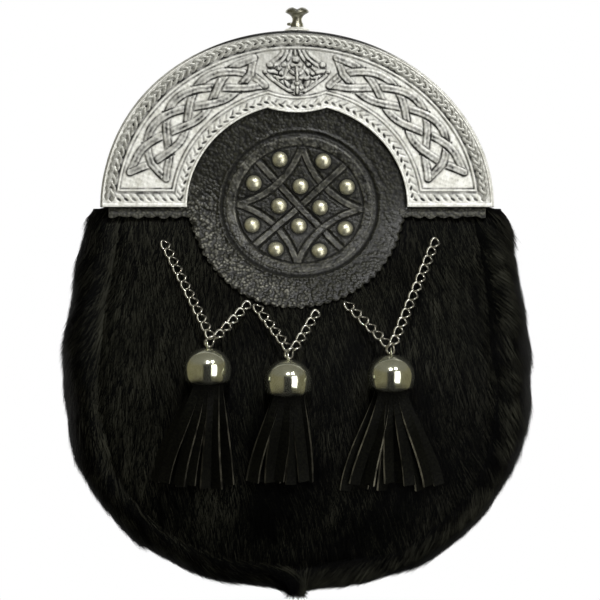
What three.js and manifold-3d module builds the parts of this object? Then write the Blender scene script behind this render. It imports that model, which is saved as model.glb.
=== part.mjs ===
// A dress sporran as it hangs: a hair-on hide pouch, a tooled leather flap with studs, a cast metal
// cantle with raised knotwork, and three tassels of leather strips in metal bells on link chains.
import * as THREE from "three";
import { mergeVertices } from "three/addons/utils/BufferGeometryUtils.js";
import Module from "manifold-3d";

const wasm = await Module();
wasm.setup();

// Driving sizes in millimetres. X is the viewer's right, Y runs to the back and Z is up.
// The origin is on the rear face of the back panel, on the centre line, level with the cantle's feet.
const SEAM_GAP = 0.3;
const HIDE_THICK = 3;
const BACK_THICK = 2.5;
const FLAP_THICK = 2.4;
const FLAP_CLEARANCE = 0.4;

// The pouch outline from the front: a straight-sided top over a full round bottom.
const FRONT_SEAM = { half: 80, widestZ: -72, drop: 71.5, taper: 9.5 };
const OUTER_EDGE = { half: 95.9, widestZ: -65, drop: 92, taper: 11.2 };
const POUCH_TOP = -0.6;
const PANEL_TUCK = 4;
const ROUND_POWER = 2.3;
const TAPER_POWER = 1.4;
const ROUND_SHARE = 0.62;
const SIDE_STEPS = 15;
const BACK = { share: 0.86, archInset: 0.6, archRows: 12, pouchRows: 18 };
const GUSSET_FOOT_SHARE = 0.8;
const GUSSET_BULGE = { shoulder: 0.78, belly: 1.29, bellyDepth: 0.3 };

// How far the front stands off the rear face, at its seam and, added to that, on the centre line.
const FRONT_SECTIONS = [
  { z: 8, seam: 16, crown: 0.8 },
  { z: 0, seam: 16, crown: 0.8 },
  { z: -15, seam: 19.5, crown: 2.6 },
  { z: -30, seam: 25, crown: 5 },
  { z: -50, seam: 30.5, crown: 7.5 },
  { z: -75, seam: 33.5, crown: 9 },
  { z: -100, seam: 33.5, crown: 8.5 },
  { z: -120, seam: 32.5, crown: 6 },
  { z: -145, seam: 31, crown: 1.5 },
];

const CANTLE = {
  outer: { half: 80, rise: 72 },
  inner: { half: 45, rise: 42 },
  lobe: { lowest: 38.6, radius: 40 },
  plate: 2.6,
  recess: 0.9,
  border: { outer: 6.2, inner: 5.6, foot: 7 },
  rim: { thick: 1.5, backGap: 0.5, step: 0.8 },
  arcSteps: 26,
  innerSteps: 10,
};
const KNOT = {
  strap: 2,
  sink: 0.3,
  height: 0.95,
  lower: 0.78,
  footTurn: 18,
  headTurn: 72.5,
  swing: 0.72,
  steps: 4,
  footReach: 5,
  headReach: 3.6,
  tip: 1.12,
};
// The crest: a lozenge's lower sides, and straps from its side tips that cross over and close the top.
const CREST = {
  strap: 1.6,
  lowest: { x: 0, z: 46 },
  sideTip: { x: 12, z: 56.3 },
  crossing: { x: 0, z: 58.8 },
  shoulder: { x: 5.4, z: 63 },
  top: { x: 0, z: 65.4 },
};

const FLAP = {
  tongue: { z: 2.9, radius: 43.7 },
  shoulder: 77,
  strip: -3.7,
  pinkPitch: 3.7,
  pinkDepth: 0.8,
  archInset: 2.3,
  rows: [90, 0, -9, -18, -30, -45],
};
const TOOLING = {
  ring: { radius: 26.2, width: 1.5 },
  strap: 2.3,
  arcRadius: 35.5,
  arcCentre: 48.6,
  height: 0.7,
  sink: 0.3,
  steps: 5,
  ringSides: 20,
};
const STUD = { radius: 3.1, height: 2.3, innerRing: 8.4, outerRing: 21, spread: 20, sides: 8 };

const LINK = { wire: 0.9, width: 3.1, pitch: 4.9, bite: 0.08, ends: 5, sides: 5, standOff: 1.8, lean: 40 };
const EYE = { ring: 1.3, wire: 0.8, ends: 10, sides: 5, rise: 1.2 };
const BELL = {
  radius: 8.7,
  height: 14,
  shoulder: 8.4,
  lip: 7.6,
  wall: 1,
  crownWall: 1.5,
  waist: { inward: 0.35, down: 0.55 },
  hollow: { radius: 0.707, rise: 0.42 },
  sides: 10,
  clearance: 0.5,
};
const STRIPS = {
  count: 8,
  top: 3.2,
  bottom: 4.4,
  thick: 1.2,
  gather: 4,
  headRadius: 5.6,
  headRise: 7,
  layer: 1.6,
  bottomLayer: 1.9,
  clearance: 0.7,
  rootRise: 3,
  straight: 0.4,
  bend: { across: 0.4, back: 0.5, down: 0.42 },
};
// Where each tassel hangs, where its chain is tucked behind the flap or let into the hide, and how far
// its strips fan out.
const TASSELS = [
  {
    side: "left",
    x: -36.3,
    top: -58.2,
    tucks: [-20.6],
    holes: [{ x: -54.7, z: -13.5 }],
    fan: [-59.6, -26.5],
    foot: -114,
  },
  {
    side: "middle",
    x: -3.7,
    top: -62.8,
    tucks: [-16, 8.6],
    holes: [],
    fan: [-21.2, 7.5],
    foot: -112.6,
  },
  {
    side: "right",
    x: 38,
    top: -60.3,
    tucks: [19.8],
    holes: [{ x: 57.1, z: -12.7 }],
    fan: [16.7, 58.8],
    foot: -114.7,
  },
];
const TUCK_DROP = 2.6;

const KNOB = {
  foot: { radius: 5.6, shoulder: 3.6, height: 1.6 },
  collar: { radius: 2.6, height: 1.4 },
  neck: { radius: 2.1, height: 2.6 },
  head: { radius: 4.7, flare: 2.2, edge: 0.55, height: 3.6, crown: 2.2 },
  slot: { width: 1.3, depth: 1.1 },
  lug: { reach: 4.1, width: 2.4 },
  y: -12,
  sides: 12,
};
const BELT_LOOP = { x: 46, width: 16, reach: 24, foot: 6, ramp: 5, gap: 6, thick: 2.2 };

const COLOURS = {
  hide: { color: 0x14120f, roughness: 0.6, metalness: 0 },
  leather: { color: 0x34312f, roughness: 0.55, metalness: 0 },
  cutLeather: { color: 0x1c1a19, roughness: 0.5, metalness: 0 },
  castMetal: { color: 0xc9c8c4, roughness: 0.25, metalness: 1 },
  brightMetal: { color: 0xd8d6d0, roughness: 0.12, metalness: 1 },
};

const degrees = (angle) => (angle * Math.PI) / 180;
const mix = THREE.MathUtils.lerp;
const flat = (x, z) => new THREE.Vector2(x, z);
const place = (x, y, z) => new THREE.Vector3(x, y, z);

// Solids and their joins

function positionsOnly(geometry) {
  const bare = geometry.clone();
  for (const name of Object.keys(bare.attributes)) {
    if (name !== "position") bare.deleteAttribute(name);
  }
  return mergeVertices(bare, 1e-4);
}

function signedVolume(position, corners) {
  const [a, b, c] = [place(0, 0, 0), place(0, 0, 0), place(0, 0, 0)];
  let volume = 0;
  for (let i = 0; i < corners.length; i += 3) {
    a.fromArray(position, corners[i] * 3);
    b.fromArray(position, corners[i + 1] * 3);
    c.fromArray(position, corners[i + 2] * 3);
    volume += a.dot(b.cross(c)) / 6;
  }
  return volume;
}

function toSolid(geometry) {
  const merged = positionsOnly(geometry);
  const vertProperties = new Float32Array(merged.attributes.position.array);
  const corners = [];
  const index = merged.index.array;
  for (let i = 0; i < index.length; i += 3) {
    const [a, b, c] = [index[i], index[i + 1], index[i + 2]];
    if (a !== b && b !== c && c !== a) corners.push(a, b, c);
  }
  if (signedVolume(vertProperties, corners) < 0) corners.reverse();
  const mesh = new wasm.Mesh({ numProp: 3, vertProperties, triVerts: new Uint32Array(corners) });
  return new wasm.Manifold(mesh);
}

function toGeometry(solid) {
  const mesh = solid.getMesh();
  const geometry = new THREE.BufferGeometry();
  geometry.setAttribute("position", new THREE.BufferAttribute(mesh.vertProperties, 3));
  geometry.setIndex(new THREE.BufferAttribute(mesh.triVerts, 1));
  geometry.computeVertexNormals();
  return geometry;
}

function join(solids) {
  return solids.reduce((whole, next) => whole.add(next));
}

// Sheets and sweeps

function frontPrism(shape, frontY, backY, curveSegments = 12) {
  const depth = backY - frontY;
  const geometry = new THREE.ExtrudeGeometry(shape, { depth, bevelEnabled: false, curveSegments });
  geometry.rotateX(Math.PI / 2);
  geometry.translate(0, backY, 0);
  return toSolid(geometry);
}

function wallBetween(outer, inner) {
  const rows = outer.length;
  const columns = outer[0].length;
  const [foot, end] = [rows - 1, columns - 1];
  const points = [...outer.flat(), ...inner.flat()];
  const corners = [];
  const quad = (a, b, c, d) => corners.push(a, b, c, a, c, d);
  const near = (row, column) => row * columns + column;
  const far = (row, column) => rows * columns + near(row, column);
  for (let row = 0; row < foot; row++) {
    for (let column = 0; column < end; column++) {
      quad(near(row, column), near(row, column + 1), near(row + 1, column + 1), near(row + 1, column));
      quad(far(row, column), far(row + 1, column), far(row + 1, column + 1), far(row, column + 1));
    }
    quad(near(row, 0), near(row + 1, 0), far(row + 1, 0), far(row, 0));
    quad(near(row + 1, end), near(row, end), far(row, end), far(row + 1, end));
  }
  for (let column = 0; column < end; column++) {
    quad(near(0, column + 1), near(0, column), far(0, column), far(0, column + 1));
    quad(near(foot, column), near(foot, column + 1), far(foot, column + 1), far(foot, column));
  }
  const geometry = new THREE.BufferGeometry().setFromPoints(points);
  geometry.setIndex(corners);
  return toSolid(geometry);
}

function closedRing(sections) {
  const sides = sections[0].length;
  const corners = [];
  sections.forEach((_, station) => {
    const next = ((station + 1) % sections.length) * sides;
    const here = station * sides;
    for (let side = 0; side < sides; side++) {
      const after = (side + 1) % sides;
      corners.push(here + side, next + side, next + after, here + side, next + after, here + after);
    }
  });
  const geometry = new THREE.BufferGeometry().setFromPoints(sections.flat());
  geometry.setIndex(corners);
  return toSolid(geometry);
}

function ribbonShape(path, width) {
  const left = [];
  const right = [];
  path.forEach((point, i) => {
    const before = path[Math.max(i - 1, 0)];
    const after = path[Math.min(i + 1, path.length - 1)];
    const along = after.clone().sub(before).normalize();
    const across = flat(-along.y, along.x).multiplyScalar(width / 2);
    left.push(point.clone().add(across));
    right.push(point.clone().sub(across));
  });
  return new THREE.Shape([...left, ...right.reverse()]);
}

// The pouch

function halfWidth(edge, z) {
  if (z >= edge.widestZ) {
    const rise = Math.min((z - edge.widestZ) / (POUCH_TOP - edge.widestZ), 1);
    return edge.half - edge.taper * rise ** TAPER_POWER;
  }
  const fall = Math.min((edge.widestZ - z) / edge.drop, 1);
  return edge.half * (1 - fall ** ROUND_POWER) ** (1 / ROUND_POWER);
}

// A point on an outline, from the bottom centre (share 0) up one side to the top (share 1).
function outlinePoint(edge, share) {
  if (share >= ROUND_SHARE) {
    const z = mix(edge.widestZ, POUCH_TOP, (share - ROUND_SHARE) / (1 - ROUND_SHARE));
    return flat(halfWidth(edge, z), z);
  }
  const angle = degrees(90 * (1 - share / ROUND_SHARE));
  const power = 2 / ROUND_POWER;
  const x = share === 0 ? 0 : edge.half * Math.cos(angle) ** power;
  return flat(x, edge.widestZ - edge.drop * Math.sin(angle) ** power);
}

function stationPoints(place2d, steps) {
  const shares = Array.from({ length: steps + 1 }, (_, i) => i / steps);
  const right = shares.map((share) => place2d(share, 1));
  const left = shares.slice(1).reverse().map((share) => place2d(share, -1));
  return [...left, ...right];
}

function betweenOutlines(share, side, blend) {
  const seam = outlinePoint(FRONT_SEAM, share);
  const edge = outlinePoint(OUTER_EDGE, share);
  const point = seam.lerp(edge, blend);
  return flat(point.x * side, point.y);
}

function sectionAt(z, column) {
  const table = FRONT_SECTIONS;
  const last = table.length - 1;
  if (z >= table[0].z) return table[0][column];
  if (z <= table[last].z) return table[last][column];
  const i = table.findIndex((row, n) => n < last && z <= row.z && z > table[n + 1].z);
  const slope = (n) => {
    if (n === 0 || n === last) return 0;
    return (table[n + 1][column] - table[n - 1][column]) / (table[n + 1].z - table[n - 1].z);
  };
  const [from, to] = [table[i], table[i + 1]];
  const span = to.z - from.z;
  const t = (z - from.z) / span;
  const hold = (1 + 2 * t) * (1 - t) ** 2 * from[column] + t * t * (3 - 2 * t) * to[column];
  return hold + t * (1 - t) ** 2 * span * slope(i) + t * t * (t - 1) * span * slope(i + 1);
}

function frontDepth(x, z) {
  const half = halfWidth(FRONT_SEAM, z);
  const across = half > 0 ? Math.min(Math.abs(x) / half, 1) : 1;
  return sectionAt(z, "seam") + sectionAt(z, "crown") * (1 - across * across);
}

function frontPanel() {
  const columnSteps = 6;
  const shares = Array.from({ length: SIDE_STEPS + 1 }, (_, i) => 1 - i / SIDE_STEPS);
  const rows = shares.map((share) => outlinePoint(FRONT_SEAM, share));
  rows.unshift(flat(rows[0].x, PANEL_TUCK));
  const surface = (inset) =>
    rows.map(({ x: half, y: z }) =>
      Array.from({ length: columnSteps + 1 }, (_, column) => {
        const x = half * mix(-1, 1, column / columnSteps);
        return place(x, inset - frontDepth(x, z), z);
      }),
    );
  return wallBetween(surface(0), surface(HIDE_THICK));
}

function gusset() {
  const sectionSteps = 4;
  const footY = -BACK_THICK - SEAM_GAP;
  const wall = (inner) =>
    stationPoints((share, side) => {
      const seam = betweenOutlines(share, side, 0);
      const edge = betweenOutlines(share, side, 1);
      const reach = seam.distanceTo(edge);
      const outward = edge.clone().sub(seam).normalize();
      const depth = sectionAt(seam.y, "seam");
      const curve = new THREE.CubicBezierCurve(
        flat(SEAM_GAP, -depth),
        flat(reach * GUSSET_BULGE.shoulder, -depth),
        flat(reach * GUSSET_BULGE.belly, -depth * GUSSET_BULGE.bellyDepth),
        flat(reach * GUSSET_FOOT_SHARE, footY),
      );
      return Array.from({ length: sectionSteps + 1 }, (_, i) => {
        const point = curve.getPoint(i / sectionSteps);
        if (inner) {
          const along = curve.getTangent(i / sectionSteps);
          const last = i === sectionSteps;
          const inward = last ? flat(-1, 0) : flat(-along.y, along.x);
          point.addScaledVector(inward, HIDE_THICK);
        }
        return place(seam.x + outward.x * point.x, point.y, seam.y + outward.y * point.x);
      });
    }, SIDE_STEPS);
  return wallBetween(wall(false), wall(true));
}

function archHalf(z, inset) {
  const rise = CANTLE.outer.rise - inset;
  return (CANTLE.outer.half - inset) * Math.sqrt(Math.max(1 - (z / rise) ** 2, 0));
}

// The back is laid out in level rows, so that its rear face stays free of long slivers.
function backPanel() {
  const { archInset, archRows, pouchRows } = BACK;
  const top = CANTLE.outer.rise - archInset;
  const rows = Array.from({ length: archRows }, (_, i) => {
    const z = top * Math.cos(degrees((90 * i) / archRows));
    return flat(archHalf(z, archInset), z);
  });
  for (let i = 0; i <= pouchRows; i++) rows.push(betweenOutlines(1 - i / pouchRows, 1, BACK.share));
  const face = (y) => rows.map(({ x, y: z }) => [place(-x, y, z), place(x, y, z)]);
  return wallBetween(face(-BACK_THICK), face(0));
}

// The flap

function flapBack(z) {
  return -(frontDepth(0, Math.min(z, 0)) + FLAP_CLEARANCE);
}

function flapFront(z) {
  return flapBack(z) - FLAP_THICK;
}

// The flap's front as built, in flat facets between its rows.
function flapFacet(z) {
  const i = FLAP.rows.findIndex((row, n) => z <= row && z >= FLAP.rows[n + 1]);
  const [upper, lower] = [FLAP.rows[i], FLAP.rows[i + 1]];
  return THREE.MathUtils.mapLinear(z, lower, upper, flapFront(lower), flapFront(upper));
}

function flapSlab(front, back) {
  const reach = CANTLE.outer.half * 1.25;
  const face = (level) => FLAP.rows.map((z) => [place(-reach, level(z), z), place(reach, level(z), z)]);
  return wallBetween(face(front), face(back));
}

function tongueEdge(x) {
  return FLAP.tongue.z - Math.sqrt(FLAP.tongue.radius ** 2 - x * x);
}

// The flap's outline: the arch behind the cantle, a short strip below each foot, and the round tongue.
function flapShape() {
  const { tongue, pinkPitch, pinkDepth, shoulder, strip, archInset } = FLAP;
  const points = [];
  const archSteps = CANTLE.arcSteps;
  for (let i = 0; i <= archSteps; i++) {
    const angle = degrees((180 * i) / archSteps);
    const half = CANTLE.outer.half - archInset;
    points.push(flat(half * Math.cos(angle), (CANTLE.outer.rise - archInset) * Math.sin(angle)));
  }
  const meet = Math.sqrt(tongue.radius ** 2 - (tongue.z - strip) ** 2);
  const stripTeeth = Math.round((shoulder - meet) / pinkPitch);
  const startAngle = Math.atan2(strip - tongue.z, -meet);
  const endAngle = Math.atan2(strip - tongue.z, meet);
  const sweep = (endAngle - startAngle + 2 * Math.PI) % (2 * Math.PI);
  const tongueTeeth = Math.round((sweep * tongue.radius) / pinkPitch);
  const tooth = (i) => (i % 2 === 0 ? 0 : pinkDepth);
  for (let i = 0; i < stripTeeth * 2; i++) {
    points.push(flat(mix(-shoulder, -meet, i / (stripTeeth * 2)), strip - tooth(i)));
  }
  for (let i = 0; i <= tongueTeeth * 2; i++) {
    const angle = startAngle + (sweep * i) / (tongueTeeth * 2);
    const radius = tongue.radius + tooth(i);
    points.push(flat(radius * Math.cos(angle), tongue.z + radius * Math.sin(angle)));
  }
  for (let i = 1; i <= stripTeeth * 2; i++) {
    points.push(flat(mix(meet, shoulder, i / (stripTeeth * 2)), strip - tooth(i)));
  }
  return new THREE.Shape(points);
}

function ringShape({ radius, width }) {
  const shape = new THREE.Shape().absarc(0, 0, radius + width / 2, 0, 2 * Math.PI);
  shape.holes.push(new THREE.Path().absarc(0, 0, radius - width / 2, 0, 2 * Math.PI));
  return shape;
}

// Two straps cross at the centre, and four arcs join the ring's quarter points.
function toolingShapes() {
  const ring = TOOLING.ring.radius;
  const shapes = [ringShape(TOOLING.ring)];
  for (const turn of [45, 135]) {
    const end = flat(Math.cos(degrees(turn)), Math.sin(degrees(turn))).multiplyScalar(ring);
    shapes.push(ribbonShape([end, end.clone().negate()], TOOLING.strap));
  }
  const half = Math.asin((ring * Math.SQRT1_2) / TOOLING.arcRadius);
  for (const turn of [45, 135, 225, 315]) {
    const centre = flat(Math.cos(degrees(turn)), Math.sin(degrees(turn))).multiplyScalar(TOOLING.arcCentre);
    const path = Array.from({ length: TOOLING.steps + 1 }, (_, i) => {
      const angle = degrees(turn) + Math.PI + mix(-half, half, i / TOOLING.steps);
      return flat(Math.cos(angle), Math.sin(angle)).multiplyScalar(TOOLING.arcRadius).add(centre);
    });
    shapes.push(ribbonShape(path, TOOLING.strap));
  }
  return shapes;
}

function flap() {
  const [nearest, farthest] = [-90, 0];
  const sheet = flapSlab(flapFront, flapBack).intersect(frontPrism(flapShape(), nearest, farthest));
  const raised = flapSlab(
    (z) => flapFront(z) - TOOLING.height,
    (z) => flapFront(z) + TOOLING.sink,
  );
  const patterns = toolingShapes().map((shape) => frontPrism(shape, nearest, farthest, TOOLING.ringSides));
  return sheet.add(raised.intersect(join(patterns)));
}

function studPlaces() {
  const inner = [0, 90, 180, 270].map((turn) => ({ turn, radius: STUD.innerRing }));
  const outer = [45, 135, 225, 315].flatMap((turn) =>
    [-STUD.spread, STUD.spread].map((spread) => ({ turn: turn + spread, radius: STUD.outerRing })),
  );
  return [...inner, ...outer].map(({ turn, radius }) =>
    flat(radius * Math.cos(degrees(turn)), radius * Math.sin(degrees(turn))),
  );
}

// The flap bends a little under a stud, so a stud's flat base is set clear of the fold's facets.
function stud({ x, y: z }) {
  const steps = 2;
  const profile = Array.from({ length: steps + 1 }, (_, i) => {
    const angle = degrees((90 * i) / steps);
    return flat(STUD.radius * Math.cos(angle), STUD.height * Math.sin(angle));
  });
  profile[steps].x = 0;
  const dome = new THREE.LatheGeometry([flat(0, 0), ...profile], STUD.sides);
  const [below, above] = [z - STUD.radius, z + STUD.radius];
  const lean = Math.atan2(flapFacet(above) - flapFacet(below), above - below);
  const middle = (flapFacet(above) + flapFacet(below)) / 2;
  const bulge = Math.max(middle - flapFacet(z), 0);
  dome.rotateX(Math.PI - lean);
  dome.translate(x, middle - bulge - SEAM_GAP / Math.cos(lean), z);
  return toSolid(dome);
}

// The cantle

const PLATE_BACK = flapFront(0) - SEAM_GAP;
const PLATE_FRONT = PLATE_BACK - CANTLE.plate;
const PANEL_FLOOR = PLATE_FRONT + CANTLE.recess;

function ellipsePoint({ half, rise }, turn) {
  return flat(half * Math.cos(degrees(turn)), rise * Math.sin(degrees(turn)));
}

function grown({ half, rise }, by) {
  return { half: half + by, rise: rise + by };
}

function footTurn({ rise }, z) {
  return THREE.MathUtils.radToDeg(Math.asin(z / rise));
}

// The half ring's outline, drawn in from the plate's edges by the given insets.
function halfRingShape(outerInset, innerInset, footZ) {
  const outer = grown(CANTLE.outer, -outerInset);
  const inner = grown(CANTLE.inner, innerInset);
  const lobeRadius = CANTLE.lobe.radius - innerInset;
  const lobeZ = CANTLE.lobe.lowest + CANTLE.lobe.radius;
  const points = [];
  const outerFoot = footTurn(outer, footZ);
  for (let i = 0; i <= CANTLE.arcSteps; i++) {
    points.push(ellipsePoint(outer, mix(outerFoot, 180 - outerFoot, i / CANTLE.arcSteps)));
  }
  const innerFoot = footTurn(inner, footZ);
  const steps = CANTLE.innerSteps * 2;
  for (let i = 0; i <= steps; i++) {
    const point = ellipsePoint(inner, mix(180 - innerFoot, innerFoot, i / steps));
    const lobe = lobeZ - Math.sqrt(Math.max(lobeRadius ** 2 - point.x ** 2, 0));
    point.y = Math.min(point.y, lobe);
    points.push(point);
  }
  return new THREE.Shape(points);
}

// A point in the sunk panel: a turn round the arch, and a share from its inner to its outer side.
function panelPoint(turn, share, side) {
  const inner = grown(CANTLE.inner, CANTLE.border.inner);
  const outer = grown(CANTLE.outer, -CANTLE.border.outer);
  const point = ellipsePoint(inner, turn).lerp(ellipsePoint(outer, turn), share);
  return flat(point.x * side, point.y);
}

// One endless strap: four strands weave once along the panel and close in pointed loops at both ends.
function knotPaths(side) {
  const { footTurn: foot, headTurn: head, swing, steps, tip } = KNOT;
  const spot = (turn, v) => panelPoint(turn, 0.5 + 0.5 * swing * v, side);
  const strand = (phase) =>
    Array.from({ length: steps + 1 }, (_, i) => {
      const v = Math.round(Math.sin(degrees((360 * i) / steps + phase)));
      return spot(mix(foot, head, i / steps), v);
    });
  const loop = (turn, reach, v) => [0, v].map((from) => [spot(turn, from), spot(turn + reach, v * tip)]);
  return {
    upper: [strand(0), strand(180)],
    lower: [strand(90), strand(270)],
    loops: [-1, 1].flatMap((v) => [...loop(foot, -KNOT.footReach, v), ...loop(head, KNOT.headReach, v)]),
  };
}

function strapSolid(path, width, height) {
  return frontPrism(ribbonShape(path, width), PANEL_FLOOR - height, PANEL_FLOOR + KNOT.sink);
}

function knotwork(side) {
  const { upper, lower, loops } = knotPaths(side);
  return join([
    ...upper.map((path) => strapSolid(path, KNOT.strap, KNOT.height)),
    ...[...lower, ...loops].map((path) => strapSolid(path, KNOT.strap, KNOT.lower)),
  ]);
}

// The crest at the top of the arch: mirrored straps that cross on an upright spine.
function crest() {
  const { strap, lowest, sideTip, crossing, shoulder, top } = CREST;
  const spot = ({ x, z }, side) => flat(x * side, z);
  const paths = [-1, 1].flatMap((side) => [
    [spot(lowest, 1), spot(sideTip, side)],
    [spot(sideTip, side), spot(crossing, 1), spot(shoulder, -side)],
    [spot(shoulder, side), spot(top, 1)],
  ]);
  const spine = [spot(lowest, 1), spot(top, 1)];
  return join([
    ...paths.map((path) => strapSolid(path, strap, KNOT.height)),
    strapSolid(spine, strap, KNOT.lower),
  ]);
}

function cantle() {
  const { border, rim, outer, recess } = CANTLE;
  const plate = frontPrism(halfRingShape(rim.step, 0, 0), PLATE_FRONT, PLATE_BACK);
  const panel = halfRingShape(border.outer, border.inner, border.foot);
  const sunk = plate.subtract(frontPrism(panel, PLATE_FRONT - recess, PANEL_FLOOR));
  const band = new THREE.Shape();
  const steps = CANTLE.arcSteps;
  const rimInner = grown(outer, -rim.thick);
  const rimPoints = [];
  for (let i = 0; i <= steps; i++) rimPoints.push(ellipsePoint(outer, (180 * i) / steps));
  for (let i = steps; i >= 0; i--) rimPoints.push(ellipsePoint(rimInner, (180 * i) / steps));
  band.setFromPoints(rimPoints);
  const rimFront = PLATE_FRONT + CANTLE.plate / 2;
  const turnedRim = frontPrism(band, rimFront, -BACK_THICK - rim.backGap);
  return join([sunk, turnedRim, knotwork(1), knotwork(-1), crest()]);
}

function knob() {
  const { foot, collar, neck, head, slot, lug, y, sides } = KNOB;
  const levels = [0, foot.height, foot.height + collar.height];
  levels.push(levels[2] + neck.height);
  const top = levels[3] + head.height;
  const profile = [
    flat(0, 0),
    flat(foot.radius, 0),
    flat(foot.shoulder, levels[1]),
    flat(collar.radius, levels[1]),
    flat(collar.radius, levels[2]),
    flat(neck.radius, levels[2] + collar.height / 2),
    flat(neck.radius, levels[3] - neck.height / 3),
    flat(head.radius, levels[3] + head.flare - head.edge),
    flat(head.radius, levels[3] + head.flare),
    flat(head.crown, top),
    flat(0, top),
  ];
  const body = new THREE.LatheGeometry(profile, sides).rotateX(Math.PI / 2);
  const cutter = new THREE.BoxGeometry(slot.width, head.radius * 3, slot.depth * 2).translate(0, 0, top);
  const tab = new THREE.BoxGeometry(lug.reach, lug.width, collar.height);
  tab.translate(-lug.reach / 2, 0, levels[1] + collar.height / 2);
  const solid = toSolid(body).subtract(toSolid(cutter)).add(toSolid(tab));
  return solid.translate([0, y, CANTLE.outer.rise + SEAM_GAP]);
}

// Chains, bells and strips

function linkSolid(centre, along, across, halfLength) {
  const wire = LINK.wire / 2;
  const bend = LINK.width / 2 - wire;
  const normal = along.clone().cross(across).normalize();
  const sections = [];
  for (const end of [0, 180]) {
    for (let i = 0; i < LINK.ends; i++) {
      const turn = degrees(end + mix(-90, 90, i / (LINK.ends - 1)));
      const outward = along.clone().multiplyScalar(Math.cos(turn)).addScaledVector(across, Math.sin(turn));
      const shift = end === 0 ? halfLength - bend : bend - halfLength;
      const middle = centre.clone().addScaledVector(along, shift).addScaledVector(outward, bend);
      sections.push(wireSection(middle, outward, normal, wire, LINK.sides));
    }
  }
  return closedRing(sections);
}

function wireSection(middle, outward, normal, radius, sides) {
  return Array.from({ length: sides }, (_, i) => {
    const turn = (2 * Math.PI * i) / sides;
    const point = middle.clone().addScaledVector(outward, -radius * Math.cos(turn));
    return point.addScaledVector(normal, radius * Math.sin(turn));
  });
}

// The links of one leg of a chain, from the link that holds the bell's eye out to the leg's fixed end.
function chainLeg(apex, fixedEnd, apexHalf, apexNormal) {
  const side = Math.sign(fixedEnd.x - apex.x);
  const overlap = LINK.wire - LINK.bite;
  const start = apex.clone().add(place(side * (apexHalf - overlap), 0, 0));
  const length = start.distanceTo(fixedEnd);
  const along = fixedEnd.clone().sub(start).normalize();
  const count = Math.round(length / LINK.pitch);
  const half = (length + (count - 1) * overlap) / (2 * count);
  const across = apexNormal.clone().addScaledVector(along, -apexNormal.dot(along)).normalize();
  const crossways = along.clone().cross(across);
  return Array.from({ length: count }, (_, i) => {
    const centre = start.clone().addScaledVector(along, half + i * (2 * half - overlap));
    return linkSolid(centre, along, i % 2 === 0 ? across : crossways, half);
  });
}

function bellAxisY({ x, top }) {
  return -(frontDepth(x, top - BELL.shoulder) + BELL.radius + BELL.clearance);
}

function fixedEnds(tassel) {
  const tucks = tassel.tucks.map((x) => ({ x, z: tongueEdge(x) - TUCK_DROP }));
  const ends = [...tucks, ...tassel.holes];
  return ends.map(({ x, z }) => place(x, -(frontDepth(x, z) + LINK.standOff), z));
}

// The lowest link lies level in the bell's eye, leaning back towards the pouch.
function chain(tassel) {
  const apexHalf = (LINK.pitch + LINK.wire - LINK.bite) / 2;
  const lean = degrees(LINK.lean);
  const upright = place(0, Math.sin(lean), Math.cos(lean));
  const normal = place(0, Math.cos(lean), -Math.sin(lean));
  const eye = place(tassel.x, bellAxisY(tassel), tassel.top + EYE.rise);
  const apex = eye.addScaledVector(upright, EYE.ring);
  const links = [linkSolid(apex, place(1, 0, 0), upright, apexHalf)];
  for (const end of fixedEnds(tassel)) links.push(...chainLeg(apex, end, apexHalf, normal));
  return join(links);
}

function bell(tassel) {
  const { radius, height, shoulder, lip, wall, crownWall, hollow, sides } = BELL;
  const domeSteps = 3;
  const outside = Array.from({ length: domeSteps + 1 }, (_, i) => {
    const turn = degrees((90 * i) / domeSteps);
    return flat(radius * Math.sin(turn), -shoulder * (1 - Math.cos(turn)));
  });
  const waist = flat(mix(radius, lip, BELL.waist.inward), mix(-shoulder, -height, BELL.waist.down));
  const inside = [
    flat(lip - wall, -height),
    flat(radius - wall, -shoulder),
    flat((radius - wall) * hollow.radius, -shoulder * hollow.rise),
    flat(0, -crownWall),
  ];
  const profile = [...outside, waist, flat(lip, -height), ...inside];
  const cup = toSolid(new THREE.LatheGeometry(profile, sides).rotateX(Math.PI / 2));
  const sections = Array.from({ length: EYE.ends }, (_, i) => {
    const turn = (2 * Math.PI * i) / EYE.ends;
    const outward = place(0, Math.cos(turn), Math.sin(turn));
    const middle = outward.clone().multiplyScalar(EYE.ring).add(place(0, 0, EYE.rise));
    return wireSection(middle, outward, place(1, 0, 0), EYE.wire / 2, EYE.sides);
  });
  return cup.add(closedRing(sections)).translate([tassel.x, bellAxisY(tassel), tassel.top]);
}

// Each strip drops straight through the bell's mouth, then fans out and lies against the pouch.
function stripSolid(tassel, i) {
  const fan = i / (STRIPS.count - 1);
  const behind = i % 2;
  const mouth = tassel.top - BELL.height;
  const topX = tassel.x + mix(-STRIPS.gather, STRIPS.gather, fan);
  const footX = mix(tassel.fan[0] + STRIPS.bottom / 2, tassel.fan[1] - STRIPS.bottom / 2, fan);
  const topY = bellAxisY(tassel) + (behind ? STRIPS.layer : -STRIPS.layer);
  const lift = STRIPS.clearance + STRIPS.thick / 2 + (behind ? 0 : STRIPS.bottomLayer);
  const footY = -(frontDepth(footX, tassel.foot) + lift);
  const { across, back, down } = STRIPS.bend;
  const bend = place(mix(topX, footX, across), mix(topY, footY, back), mix(mouth, tassel.foot, down));
  const stations = [
    { at: place(topX, topY, mouth + STRIPS.rootRise), half: STRIPS.top / 2 },
    { at: place(topX, topY, mouth - STRIPS.straight), half: STRIPS.top / 2 },
    { at: bend, half: STRIPS.bottom / 2 },
    { at: place(footX, footY, tassel.foot), half: STRIPS.bottom / 2 },
  ];
  const face = (offset) =>
    stations.map(({ at, half }) => [-half, half].map((side) => place(at.x + side, at.y + offset, at.z)));
  return wallBetween(face(-STRIPS.thick / 2), face(STRIPS.thick / 2));
}

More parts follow.
